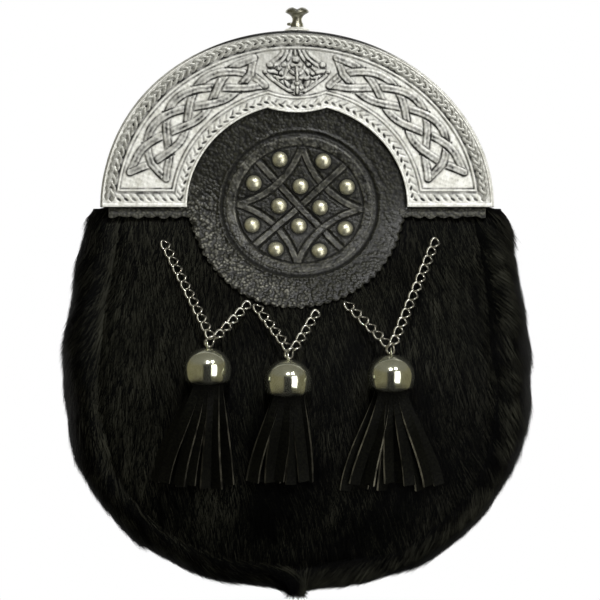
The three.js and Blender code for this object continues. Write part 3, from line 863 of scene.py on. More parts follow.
@dataclass
class Finishes:
    """All the sporran's materials, each built once."""

    hair: Material = made(HairFinish())
    skin: Material = made(SkinFinish())
    tooled: Material = made(
        LeatherFinish("tooled_cowhide", "#060604", "#343428", 1.3, 0.4, (0.34, 0.5), 0.3)
    )
    rubbed: Material = made(
        LeatherFinish("rubbed_cowhide", "#171714", "#5a594e", 1.15, 0.2, (0.4, 0.55), 0.3)
    )
    plain: Material = made(
        LeatherFinish("smooth_cowhide", "#100f0d", "#211f1b", 1.1, 0.1, (0.4, 0.55), 0.3)
    )
    strip: Material = made(
        LeatherFinish("thong_cowhide", "#030302", "#11120a", 0.9, 0.08, (0.55, 0.7), 0.07)
    )
    cut: Material = made(CutEdgeFinish())
    pale_cut: Material = made(CutEdgeFinish("pale_cut_edge", "#2a2923", "#716e60"))
    cast: Material = made(
        MetalFinish("plated_zinc_casting", "#eeeee9", "#c6c5bc", "#0b0b09", (0.3, 0.45), 0.2, 1.1, 0.13, 3.0)
    )
    # A darker copy of the plated casting for the plait: painted shade.
    worn: Material = made(
        MetalFinish("worn_zinc_casting", "#a9a9a3", "#6b6a63", "#0b0b09", (0.34, 0.48), 0.5, 0.9, 0.12, 2.2)
    )
    chrome: Material = made(
        MetalFinish("chrome_plate", "#cbccbb", "#b5b6a4", "#1a1a15", (0.11, 0.15), 0.96, 5.0, 0.02)
    )
    nickel: Material = made(
        MetalFinish("polished_nickel", "#bebca6", "#97947e", "#2e2c24", (0.3, 0.42), 0.8, 1.4, 0.22, 1.6)
    )
    # A darker copy of the nickel for the knob and its lug: painted dark reflection.
    aged: Material = made(
        MetalFinish("aged_nickel", "#9b998a", "#68665b", "#12110e", (0.28, 0.4), 0.95, 1.2, 0.05, 3.0)
    )
    wire: Material = made(
        MetalFinish("plated_steel_wire", "#b6b4ab", "#85837a", "#23221e", (0.16, 0.26), 0.9, 2.0, 0.0, 4.0)
    )
    thread: Material = made(ThreadFinish())


# The pouch


@dataclass(frozen=True)
class Outline:
    """One outline of the pouch from the front."""

    half: float
    widest: float
    drop: float
    taper: float


@dataclass(frozen=True)
class PouchForm:
    """The pouch's shape: its two outlines, and how far its front stands off the rear face."""

    seam: Outline = Outline(80.0, -72.0, 71.5, 9.5)
    edge: Outline = Outline(94.1, -65.0, 89.3, 10.4)
    top: float = -0.6
    tuck: float = 4.0
    round_power: float = 2.3
    taper_power: float = 1.4
    round_share: float = 0.62
    levels: tuple[float, ...] = (8.0, 0.0, -15.0, -30.0, -50.0, -75.0, -100.0, -120.0, -145.0)
    depths: tuple[float, ...] = (16.0, 16.0, 19.5, 25.0, 30.5, 33.5, 33.5, 32.5, 31.0)
    crowns: tuple[float, ...] = (0.8, 0.8, 2.6, 5.0, 7.5, 9.0, 8.5, 6.0, 1.5)

    def half_width(self, line: Outline, z: Array) -> Array:
        """Half the outline's width at each level."""
        rise = np.clip((z - line.widest) / (self.top - line.widest), 0.0, 1.0)
        fall = np.clip((line.widest - z) / line.drop, 0.0, 1.0)
        upper = line.half - line.taper * rise**self.taper_power
        lower = line.half * (1.0 - fall**self.round_power) ** (1.0 / self.round_power)
        return np.where(z >= line.widest, upper, lower)

    def point(self, line: Outline, share: Array) -> Array:
        """Points on an outline, from the bottom centre (0) up one side to the top (1).

        Args:
            line: The outline.
            share: How far round, with the sign of the side.

        Returns:
            Rows of x and z.
        """
        part = np.abs(share)
        rise = np.clip((part - self.round_share) / (1.0 - self.round_share), 0.0, 1.0)
        straight = part_way(line.widest, self.top, rise)
        angle = np.radians(90.0) * (1.0 - np.clip(part / self.round_share, 0.0, 1.0))
        power = 2.0 / self.round_power
        bowl = line.half * np.clip(np.cos(angle), 0.0, 1.0) ** power
        low = line.widest - line.drop * np.sin(angle) ** power
        above = part >= self.round_share
        x = np.where(above, self.half_width(line, straight), bowl)
        return joined(x * np.sign(share), np.where(above, straight, low))

    def column(self, table: Sequence[float], z: Array) -> Array:
        """A table's value at each level, on one smooth curve through its rows."""
        levels, values = np.array(self.levels), np.array(table)
        slopes = np.zeros(len(levels))
        slopes[1:-1] = (values[2:] - values[:-2]) / (levels[2:] - levels[:-2])
        z = np.clip(z, levels[-1], levels[0])
        row = np.clip(np.searchsorted(-levels, -z, side="right") - 1, 0, len(levels) - 2)
        span = levels[row + 1] - levels[row]
        t = (z - levels[row]) / span
        hold = (1.0 + 2.0 * t) * (1.0 - t) ** 2 * values[row] + t * t * (3.0 - 2.0 * t) * values[row + 1]
        lean = t * (1.0 - t) ** 2 * slopes[row] + t * t * (t - 1.0) * slopes[row + 1]
        return hold + span * lean

    def front_depth(self, x: Array, z: Array) -> Array:
        """How far the front stands off the rear face at each place."""
        half = np.maximum(self.half_width(self.seam, z), SMALL)
        across = np.clip(np.abs(x) / half, 0.0, 1.0)
        return self.column(self.depths, z) + self.column(self.crowns, z) * (1.0 - across**2)


@dataclass
class Coat:
    """The hair of one face: tables over its grid of how the hair lies, how long, dense and pale it is."""

    name: str
    grid: Array
    comb: Array
    pile: Array
    cover: Array
    # How pale the hair may be: painted sheen and painted light.
    shade: Array
    lengths: tuple[float, float]
    seed: int

    def half(self, side: Side, part: Any) -> "Coat":
        """One side's part of the coat, with its own name and seed."""
        tables = (table[part] for table in (self.grid, self.comb, self.pile, self.cover, self.shade))
        return Coat(f"{self.name}_{side.label}", *tables, self.lengths, self.seed + side.value)


@dataclass
class HairyHide:
    """The pouch's front and the band round it, with their coat of hair."""

    form: PouchForm
    left_free: Callable[[Array, Array], Array]
    pressed: Callable[[Array, Array], Array]
    middle: tuple[float, float, float] = (0.0, -15.0, -70.0)
    thickness: float = 3.0
    rows: int = 72
    columns: int = 48
    stations: int = 128
    steps: int = 20
    foot: float = -2.8
    seam_gap: float = 0.3
    shoulder: float = 0.78
    belly: float = 1.29
    belly_depth: float = 0.3
    foot_share: float = 0.8
    roll: float = 1.3
    roll_width: float = 6.0
    hairs: int = 63000
    sway: float = 0.3
    lift: float = 0.17
    shades: tuple[float, float] = (0.3, 2.2)
    front_pile: tuple[float, float] = (5.5, 10.0)
    band_pile: tuple[float, float] = (6.0, 11.5)
    front_seed: int = 21
    band_seed: int = 41

    def front_grid(self) -> Array:
        """The front's outer face, rolled in along its seam, as rows by columns by x, y, z."""
        share = np.linspace(1.0, 0.0, self.rows + 1)
        outline = self.form.point(self.form.seam, share)
        outline = np.concatenate([[[outline[0, 0], self.form.tuck]], outline])
        across = np.sin(angles(90.0, -90.0, self.columns + 1))
        x = outline[:, :1] * across
        z = np.broadcast_to(outline[:, 1:], x.shape)
        lowest = self.form.seam.drop - self.form.seam.widest
        drop = self.roll * smooth(np.abs(across), 0.94, 1.0) * smooth(-z, 0.0, 12.0)
        low = self.roll * smooth(-z, lowest - self.roll_width, lowest)
        depth = self.form.front_depth(x, z) - np.maximum(drop, low)
        return joined(x, -depth, z)

    def band_grid(self) -> Array:
        """The band's outer face, as stations by steps from seam to back by x, y, z."""
        share = np.linspace(-1.0, 1.0, self.stations + 1)
        seam = self.form.point(self.form.seam, share)
        edge = self.form.point(self.form.edge, share)
        reach = np.linalg.norm(edge - seam, axis=-1)
        outward = unit(edge - seam)
        depth = self.form.column(self.form.depths, seam[:, 1])
        corners = [
            joined(self.seam_gap, -depth),
            joined(reach * self.shoulder, -depth),
            joined(reach * self.belly, -depth * self.belly_depth),
            joined(reach * self.foot_share, self.foot),
        ]
        level = np.linspace(0.0, 1.0, self.steps + 1)
        rest = 1.0 - level
        weights = np.stack([rest**3, 3.0 * rest**2 * level, 3.0 * rest * level**2, level**3])
        curve = np.einsum("kl,skc->slc", weights, np.stack(corners, axis=1))
        dip = self.roll * (1.0 - smooth(level, 0.0, 0.16))
        place = seam[:, None] + outward[:, None] * curve[..., :1]
        return joined(place[..., 0], curve[..., 1] + dip, place[..., 1])

    def add_shell(self, name: str, outer: Array, skin: Material) -> Object:
        """Gives a face of the hide its thickness, to the inside."""
        inward = unit(np.cross(np.gradient(outer, axis=0), np.gradient(outer, axis=1)))
        away = np.sum(inward * (outer - np.array(self.middle)), axis=-1, keepdims=True)
        inward = np.where(np.mean(away) > 0.0, -inward, inward)
        return mend(add_piece(name, *shell(outer, outer + inward * self.thickness), skin))

    def comb_front(self, grid: Array) -> Array:
        """The front's hair runs down, sways a little and opens towards the sides."""
        x, _, z = np.moveaxis(grid, -1, 0)
        half = np.maximum(self.form.half_width(self.form.seam, z), 1.0)
        sway = 0.16 * ripple(x, z, 46.0, 11) + 0.07 * ripple(x, z, 15.0, 12)
        open_out = 0.3 * np.sign(x) * np.abs(x / half) ** 5
        return joined(sway + open_out, 0.0, -1.0)

    def comb_band(self, grid: Array) -> Array:
        """The band's hair runs down both sides and in to the middle of the bottom."""
        share = np.linspace(-1.0, 1.0, grid.shape[0])
        along = unit(np.gradient(grid, axis=0)) * -np.sign(share)[:, None, None]
        back = unit(np.gradient(grid, axis=1))
        x, _, z = np.moveaxis(grid, -1, 0)
        sway = 0.22 * ripple(x, z, 34.0, 13) + 0.1 * ripple(x, z, 12.0, 14)
        follow = smooth(np.abs(share), -0.02, 0.09)[:, None, None]
        return unit(along * follow * 0.9 + back * (0.34 + sway)[..., None])

    def front_coat(self, grid: Array) -> Coat:
        """The front's coat: none under the flap, short under the tassels, with painted light above and on the
        left, and painted sheen in patches and streaks.
        """
        x, _, z = np.moveaxis(grid, -1, 0)
        cover = self.left_free(x, z) * smooth(-z, 1.0, 3.0)
        pile = self.pressed(x, z) * (1.0 + 0.2 * ripple(x, z, 30.0, 15))
        # Painted sheen in slow patches and long streaks, then painted light from above and from the left.
        shade = 0.83 + 0.2 * ripple(x, z, 34.0, 17) + 0.25 * ripple(x * 2.5, z * 0.5, 9.0, 18)
        shade = shade + 0.3 * smooth(z, -115.0, -40.0) + 0.3 * smooth(-x, 15.0, 60.0)
        comb = self.comb_front(grid)
        return Coat("front_hair", grid, comb, pile, cover, shade, self.front_pile, self.front_seed)

    def band_coat(self, grid: Array) -> Coat:
        """The band's coat: longer at its ends, with painted sheen along the seam and in patches, and painted
        light above.
        """
        x, _, z = np.moveaxis(grid, -1, 0)
        share = np.abs(np.linspace(-1.0, 1.0, self.stations + 1))[:, None]
        level = np.linspace(0.0, 1.0, self.steps + 1)
        tufts = 1.0 + 0.2 * smooth(share, 0.95, 1.0) + 0.3 * (1.0 - smooth(share, 0.0, 0.06))
        pile = tufts * (1.0 + 0.25 * ripple(x, z, 26.0, 16) + 0.15 * ripple(x, z, 7.0, 19))
        # Painted sheen: pale streaks along the seam, low down and up the sides.
        low_seam_sheen = (1.0 - smooth(share, 0.3, 0.6)) * ridge(level - 0.22, 0.2)
        side_seam_sheen = ridge(level - 0.16, 0.16) * smooth(share, 0.36, 0.5) * (1.0 - smooth(share, 0.82, 0.96))
        # Painted sheen in patches and streaks, painted light from above, and a little darker on the right.
        shade = 0.84 - 0.06 * np.sign(x) + 0.25 * ripple(x, z, 30.0, 20) + 0.25 * ripple(x, z, 5.0, 22)
        shade = shade + low_seam_sheen * (0.45 + 0.6 * ripple(x, z, 6.0, 23)) + 0.3 * smooth(z, -100.0, -20.0)
        shade = shade + side_seam_sheen * (0.38 - 0.14 * np.sign(x) + 0.4 * ripple(x, z, 9.0, 24))
        comb, cover = self.comb_band(grid), np.ones_like(pile)
        return Coat("band_hair", grid, comb, pile, cover, shade, self.band_pile, self.band_seed)

    def add_coat(self, coat: Coat, hair: Material) -> Object:
        """Grows a coat of hair on its face.

        Args:
            coat: The tables over the face.
            hair: The hair's material.

        Returns:
            The coat's piece.
        """
        grid, cover = coat.grid, coat.cover
        carrier = add_piece(f"{coat.name}_carrier", grid.reshape(-1, 3), grid_faces(*grid.shape[:2]), hair)
        store(carrier, "comb", coat.comb.reshape(-1, 3))
        tables = {"pile": coat.pile, "cover": cover, "shade": np.clip(coat.shade, *self.shades)}
        for name, table in tables.items():
            store(carrier, name, table.ravel())
        spans = np.cross(grid[1:, :-1] - grid[:-1, :-1], grid[:-1, 1:] - grid[:-1, :-1])
        cells = np.linalg.norm(spans, axis=-1)
        covered = (cover[1:, 1:] + cover[:-1, :-1] + cover[1:, :-1] + cover[:-1, 1:]) / 4.0
        area = float(np.sum(cells * covered)) * MM * MM
        strand = self.add_strand(hair)
        values = {
            "Pattern": strand,
            "Density": self.hairs / area,
            "Shortest": coat.lengths[0],
            "Longest": coat.lengths[1],
            "Sway": self.sway,
            "Lift": self.lift,
            "Seed": coat.seed,
            "Material": hair,
        }
        piece = grow(coat.name, carrier, hair_tree(), values)
        remove(strand)
        return piece

    def add_strand(self, hair: Material) -> Object:
        """One hair a millimetre long: a bent, tapered strip that lies down at its tip."""
        half, bend, root, lift, tip = 0.018, 0.45, -0.02, 0.1, 0.06
        points = [(0.0, side * half, root) for side in (-1.0, 1.0)]
        points += [(bend, side * half * 0.8, lift) for side in (-1.0, 1.0)]
        return add_piece("strand", np.array([*points, (1.0, 0.0, tip)]), [[0, 1, 3, 2], [2, 3, 4]], hair)

    def build(self, finishes: Finishes) -> None:
        """Builds the hide's walls and its four coats of hair."""
        front, band = self.front_grid(), self.band_grid()
        seat(self.add_shell("front_hide", front, finishes.skin), Slot.HIDE, "front_panel")
        seat(self.add_shell("band_hide", band, finishes.skin), Slot.HIDE, "gusset")
        column, station = self.columns // 2, self.stations // 2
        front_halves = {Side.RIGHT: np.s_[1:, : column + 1], Side.LEFT: np.s_[1:, column:]}
        band_halves = {Side.LEFT: np.s_[: station + 1], Side.RIGHT: np.s_[station:]}
        for coat, halves in ((self.front_coat(front), front_halves), (self.band_coat(band), band_halves)):
            for side, part in halves.items():
                seat(self.add_coat(coat.half(side, part), finishes.hair), Slot.HIDE)


# The flap


@dataclass
class Flap:
    """The tooled leather flap, its pinked edge and its studs."""

    form: PouchForm
    thickness: float = 2.4
    clearance: float = 0.4
    bend: float = 6.0
    tongue_z: float = 2.9
    tongue_radius: float = 43.7
    shoulder: float = 77.0
    strip: float = -3.7
    pink_pitch: float = 3.7
    strip_pitch: float = 5.2
    pink_depth: float = 0.9
    arch_half: float = 77.7
    arch_rise: float = 69.7
    hidden_half: float = 52.0
    hidden_rise: float = 49.0
    ring_step: float = 0.33
    tooled_radius: float = 33.6
    margin_rings: int = 22
    ring_radius: float = 27.3
    ring_half: float = 1.9
    strap_half: float = 1.3
    arc_radius: float = 35.5
    arc_centre: float = 48.6
    strap_height: float = 0.36
    line_radius: float = 32.0
    ring_wide: float = 1.03
    ring_flat: float = 1.015
    pattern_x: float = 1.0
    pattern_turn: float = -2.4
    pattern_fall: float = 0.93
    stud_radius: float = 3.25
    stud_height: float = 2.3
    inner_studs: float = 8.4
    outer_studs: float = 21.0
    stud_spread: float = 20.0
    stud_sunk: float = -0.35
    stud_proud: float = 0.25
    bend_ends: tuple[float, float] = (39.0, 45.0)
    arch_points: int = 221
    tongue_points: int = 289
    shoulder_lap: float = 1.5
    shoulder_levels: tuple[float, ...] = (0.0, 0.3, 0.6, 0.82, 0.94, 1.0)
    groove_off: float = 0.22
    moat_radius: float = 30.8

    def front(self, x: Array, z: Array) -> Array:
        """Where the flap's front lies: upright in the arch, and bent softly over the pouch below."""
        bent = -self.bend * np.logaddexp(0.0, -z / self.bend)
        level = part_way(bent, np.minimum(z, 0.0), smooth(np.abs(x), *self.bend_ends))
        return -(self.form.front_depth(np.zeros_like(level), level) + self.clearance + self.thickness)

    def leaves_free(self, x: Array, z: Array) -> Array:
        """1 where the hide is free to grow hair, 0 well under the flap."""
        reach = np.hypot(x, z - self.tongue_z)
        tongue = smooth(reach, self.tongue_radius - 2.6, self.tongue_radius - 1.4)
        return np.minimum(tongue, smooth(-z, -self.strip - 1.5, -self.strip))

    def tongue_edge(self, x: float) -> float:
        """The level of the tongue's lower edge."""
        return self.tongue_z - math.sqrt(self.tongue_radius**2 - x * x)

    def scallop(self, length: Array) -> Array:
        """How far the pinked edge stands out along its length."""
        return self.pink_depth * np.abs(np.sin(math.pi * length / self.pink_pitch))

    def meeting(self) -> float:
        """How far from the middle the tongue's round edge meets the straight strip."""
        return math.sqrt(self.tongue_radius**2 - (self.tongue_z - self.strip) ** 2)

    def outline(self) -> Array:
        """The disc's edge as rows of x and z, once round: an arch hidden by the cantle, then the tongue."""
        arch = ellipse(self.hidden_half, self.hidden_rise, angles(0.0, 180.0, self.arch_points))
        meet = self.meeting()
        corner = np.array([-meet, self.strip])
        left = part_way(arch[-1], corner, np.linspace(0.0, 1.0, 9)[1:-1, None])
        first, last = (math.atan2(self.strip - self.tongue_z, side * meet) for side in (-1.0, 1.0))
        arc = np.linspace(first, last, self.tongue_points)
        run, still = arc * self.tongue_radius, np.zeros_like(arc)
        teeth = round((last - first) * self.tongue_radius / self.pink_pitch)
        wave = self.scallop((arc - first) / (last - first) * teeth * self.pink_pitch)
        wave = wave * (1.0 + 0.45 * ripple(run, still, 17.0, 33))
        radius = self.tongue_radius + wave + 0.35 * ripple(run, still, 31.0, 34)
        tongue = ellipse(radius, radius, arc) + np.array([0.0, self.tongue_z])
        right = left[::-1] * np.array([-1.0, 1.0])
        return np.concatenate([arch, left, tongue, right])

    def add_shoulders(self, leather: Material) -> Object:
        """The sheet behind the cantle, with a pinked strip showing below each of its feet."""
        turn = angles(0.0, 180.0, 91)
        arch = ellipse(self.arch_half, self.arch_rise, turn)
        inside = ellipse(self.hidden_half, self.hidden_rise, turn)
        grids = [part_way(arch[:, None], inside[:, None], np.linspace(0.0, 1.0, 5)[:, None])]
        x = part_way(self.meeting() - self.shoulder_lap, self.shoulder, np.linspace(0.0, 1.0, 73))
        wave = self.scallop(x * self.pink_pitch / self.strip_pitch)
        low = self.strip - wave * (1.0 + 0.4 * ripple(x, np.zeros_like(x), 15.0, 35))
        for side in Side:
            grids.append(joined(side.value * x[:, None], low[:, None] * np.array(self.shoulder_levels)))
        walls = []
        for x, z in (np.moveaxis(grid, -1, 0) for grid in grids):
            worn = 0.45 * smooth(-z, -self.strip - 0.6, -self.strip + 0.7)
            front = self.front(x, z) + worn
            walls.append(shell(joined(x, front, z), joined(x, front + self.thickness - worn, z)))
        return mend(add_piece("flap_shoulders", *merged(walls), leather))

    def drawn(self, x: Array, z: Array) -> tuple[Array, Array]:
        """Where places on the flap lie in the pattern's own drawing."""
        x = x - self.pattern_x
        z = np.where(z < 0.0, z / self.pattern_fall, z)
        turn = math.radians(self.pattern_turn)
        return x * math.cos(turn) + z * math.sin(turn), z * math.cos(turn) - x * math.sin(turn)

    def tooling(self, x: Array, z: Array) -> tuple[Array, Array, Array, Array]:
        """The relief of the straps, cells and ring lines.

        Args:
            x: Places across.
            z: Places up.

        Returns:
            The height; how dark the tooled lines are, with painted shade in them and a painted shadow round
            each stud; how smoothed it is; and how pale, from scuffs and painted highlights.
        """
        flat_x, flat_z = x, z
        x, z = self.drawn(x, z)
        radius = np.hypot(x / self.ring_wide, z * self.ring_flat)
        inside = radius < self.ring_radius
        ways = ellipse(1.0, 1.0, np.radians([45.0, 135.0, 225.0, 315.0]))
        arcs = [np.abs(np.hypot(x - a, z - b) - self.arc_radius) for a, b in self.arc_centre * ways]
        bars = [np.abs(x - z) / math.sqrt(2.0), np.abs(x + z) / math.sqrt(2.0)]
        straps = [np.where(inside, d, OUTSIDE) - self.strap_half for d in (*arcs, *bars)]
        ring = np.abs(radius - self.ring_radius) - self.ring_half
        edge = np.minimum.reduce([*straps, ring])
        top = smooth(-edge, -0.1, 0.55)
        cell = (edge > 0.0) & inside
        groove = np.where(cell, ridge(edge - self.groove_off, 0.27), 0.0)
        echo = np.where(cell, ridge(edge - 1.65, 0.24), 0.0)
        pillow = np.where(cell, 0.2 * smooth(edge, 0.35, 1.4), 0.0)
        first_bar, second_bar = straps[4:]
        laps = [
            ((radius < 4.0) & (first_bar < 0.0), second_bar),
            ((np.abs(ring + 0.2) < 1.2) & (np.minimum.reduce(straps) < 0.0), ring),
        ]
        for i, (a, b) in enumerate((self.arc_centre - self.arc_radius) * ways):
            over, under = (straps[i], second_bar) if i % 2 else (first_bar, straps[i])
            laps.append(((np.hypot(x - a, z - b) < 3.4) & (under < 0.0), over))
        for lap, over in laps:
            groove = np.maximum(groove, np.where(lap, ridge(over - self.groove_off, 0.26), 0.0))
        moat = ridge(radius - self.moat_radius, 0.45)
        fillet = ridge(radius - self.line_radius, 0.55)
        height = self.strap_height * top + pillow - 0.5 * groove - 0.06 * echo - 0.4 * moat + 0.36 * fillet
        height = height + 0.07 * ripple(flat_x, flat_z, 4.0, 36) + 0.04 * ripple(flat_x, flat_z, 1.7, 37)
        away = [np.hypot(flat_x - a, flat_z - b) for a, b in self.stud_places()]
        # Painted shadow: a dark ring on the leather round each stud.
        stud_shadow = ridge(np.minimum.reduce(away) - self.stud_radius - 0.2, 0.6)
        # Darkness: the tooled lines and the moat ring, with painted shade in these recesses, and a painted
        # shadow ring round each stud.
        dark = np.clip(groove + 0.2 * echo + 0.95 * moat + 0.75 * stud_shadow, 0.0, 1.0)
        upper = np.maximum(0.6 * smooth(z, -6.0, 14.0), 0.6 * smooth(x, 14.0, 34.0))
        smoothed = np.maximum(0.6 * (1.0 - smooth(radius, 30.5, 33.0)), upper)
        smoothed = np.maximum(smoothed, (0.8 - 0.35 * smooth(radius, 24.0, 26.0)) * top)
        worn = smooth(ripple(flat_x, flat_z, 9.0, 38) + 0.5 * ripple(flat_x, flat_z, 2.0, 39), 0.35, 1.3)
        proud = np.maximum(ridge(edge + 0.35, 0.4) * (edge < 0.2), 0.8 * fillet)
        scuffed = 0.8 * worn * np.clip(proud + 0.5 * top * inside, 0.0, 1.0)
        # Painted highlight: strap tops paler, more on the left, with bright lines along their edges.
        rubbed = 0.14 + 0.16 * smooth(-flat_x, -16.0, 20.0) + 0.6 * ridge(edge + 0.3, 0.3)
        rubbed = rubbed * (1.0 + 0.5 * ripple(flat_x, flat_z, 7.0, 42))
        scuffed = np.maximum(scuffed, rubbed * top * (radius < self.ring_radius + self.ring_half))
        # Painted light on the lower-left corner of the margin, in creased streaks, with real creases in the
        # height.
        corner = smooth(-0.7 * flat_x - 0.72 * flat_z, 16.0, 34.0) * smooth(radius, 31.5, 34.0)
        lay, fall = 0.5 * (flat_x + flat_z), 1.2 * (flat_x - flat_z)
        crumpled = 0.55 + 0.35 * ripple(flat_x, flat_z, 6.0, 40) + 0.45 * ripple(lay, fall, 3.4, 41)
        scuffed = np.clip(np.maximum(scuffed, 0.95 * corner * crumpled), 0.0, 1.0)
        height = height + 0.14 * corner * (crumpled - 0.55)
        return height, dark, smoothed, scuffed

    def add_leather(self, leather: Material) -> Object:
        """Builds the flap as rings from its middle out to its pinked edge."""
        edge = self.outline()
        reach = np.hypot(edge[:, 0], edge[:, 1])
        rings = np.arange(self.ring_step, self.tooled_radius, self.ring_step)
        share = np.linspace(0.0, 1.0, self.margin_rings + 1)[1:, None]
        radius = np.repeat(rings[:, None], len(edge), axis=1)
        radius = np.concatenate([radius, part_way(rings[-1], reach, share)])
        x, z = radius * (edge / reach[:, None]).T[:, None]
        height, dark, smoothed, scuffed = self.tooling(x, z)
        height = height - 0.5 * (1.0 - smooth(reach - radius, 0.0, 1.1))
        rough = 0.08 * ripple(x, z, 3.2, 31) + 0.06 * ripple(x, z, 1.6, 32)
        height = height + rough * smooth(radius, 31.0, 34.0) * (1.0 - 0.7 * smoothed)
        rows = joined(x, self.front(x, z) - height, z)
        plan = np.concatenate([edge, edge * 0.5, [[0.0, 0.0]]])
        back = joined(plan[:, 0], self.front(*plan.T) + self.thickness, plan[:, 1])
        middle = back[-1:] - (self.thickness + self.strap_height) * TO_BACK
        points = np.concatenate([middle, rows.reshape(-1, 3), back])
        count, last = len(edge), len(points) - 1
        ring = np.arange(count)
        faces = (grid_faces(len(rows) + 2, count, wrap=True) + 1).tolist()
        faces += cap(0, 1 + ring[::-1]) + cap(last, last - count + ring)
        piece = add_piece("flap_leather", points, faces, leather)
        spare = np.zeros(2 * count + 1)
        for name, values in (("groove", dark), ("smoothed", smoothed), ("scuffed", scuffed)):
            store(piece, name, np.concatenate([[0.0], values.ravel(), spare]))
        return mend(piece)

    def stud_places(self) -> Array:
        """Where the studs stand, as rows of x and z."""
        inner = [(turn, self.inner_studs) for turn in (0.0, 90.0, 180.0, 270.0)]
        outer = [
            (turn + spread, self.outer_studs)
            for turn in (45.0, 135.0, 225.0, 315.0)
            for spread in (-self.stud_spread, self.stud_spread)
        ]
        turns, radii = np.array(inner + outer).T
        x, z = ellipse(radii, radii, np.radians(turns + self.pattern_turn)).T
        return joined(self.pattern_x + x, np.where(z < 0.0, z * self.pattern_fall, z))

    def add_studs(self, nickel: Material) -> Object:
        """Sets a domed stud at each place, leaning with the leather."""
        dome = ellipse(self.stud_radius, self.stud_height, angles(0.0, 90.0, 11))
        skirt = np.array([[0.0, self.stud_sunk], [self.stud_radius * 0.96, self.stud_sunk]])
        pattern = mend(add_piece("stud_pattern", *revolve(np.concatenate([skirt, dome]), 28), nickel))
        x, z = self.stud_places().T
        slope = (self.front(x, z + 2.0) - self.front(x, z - 2.0)) / 4.0
        points = joined(x, self.front(x, z) - self.stud_proud, z)
        return set_out("studs", pattern, points, (unit(joined(0.0, -1.0, slope)), TO_RIGHT, 1.0), nickel)

    def build(self, finishes: Finishes) -> None:
        """Builds the flap and its studs."""
        seat(self.add_leather(finishes.tooled), Slot.TOOLED, "flap")
        seat(self.add_shoulders(finishes.rubbed), Slot.TOOLED)
        names = [f"stud_{i:02d}" for i in range(1, 13)]
        seat(self.add_studs(finishes.nickel), Slot.STUD, *names)


# The cantle


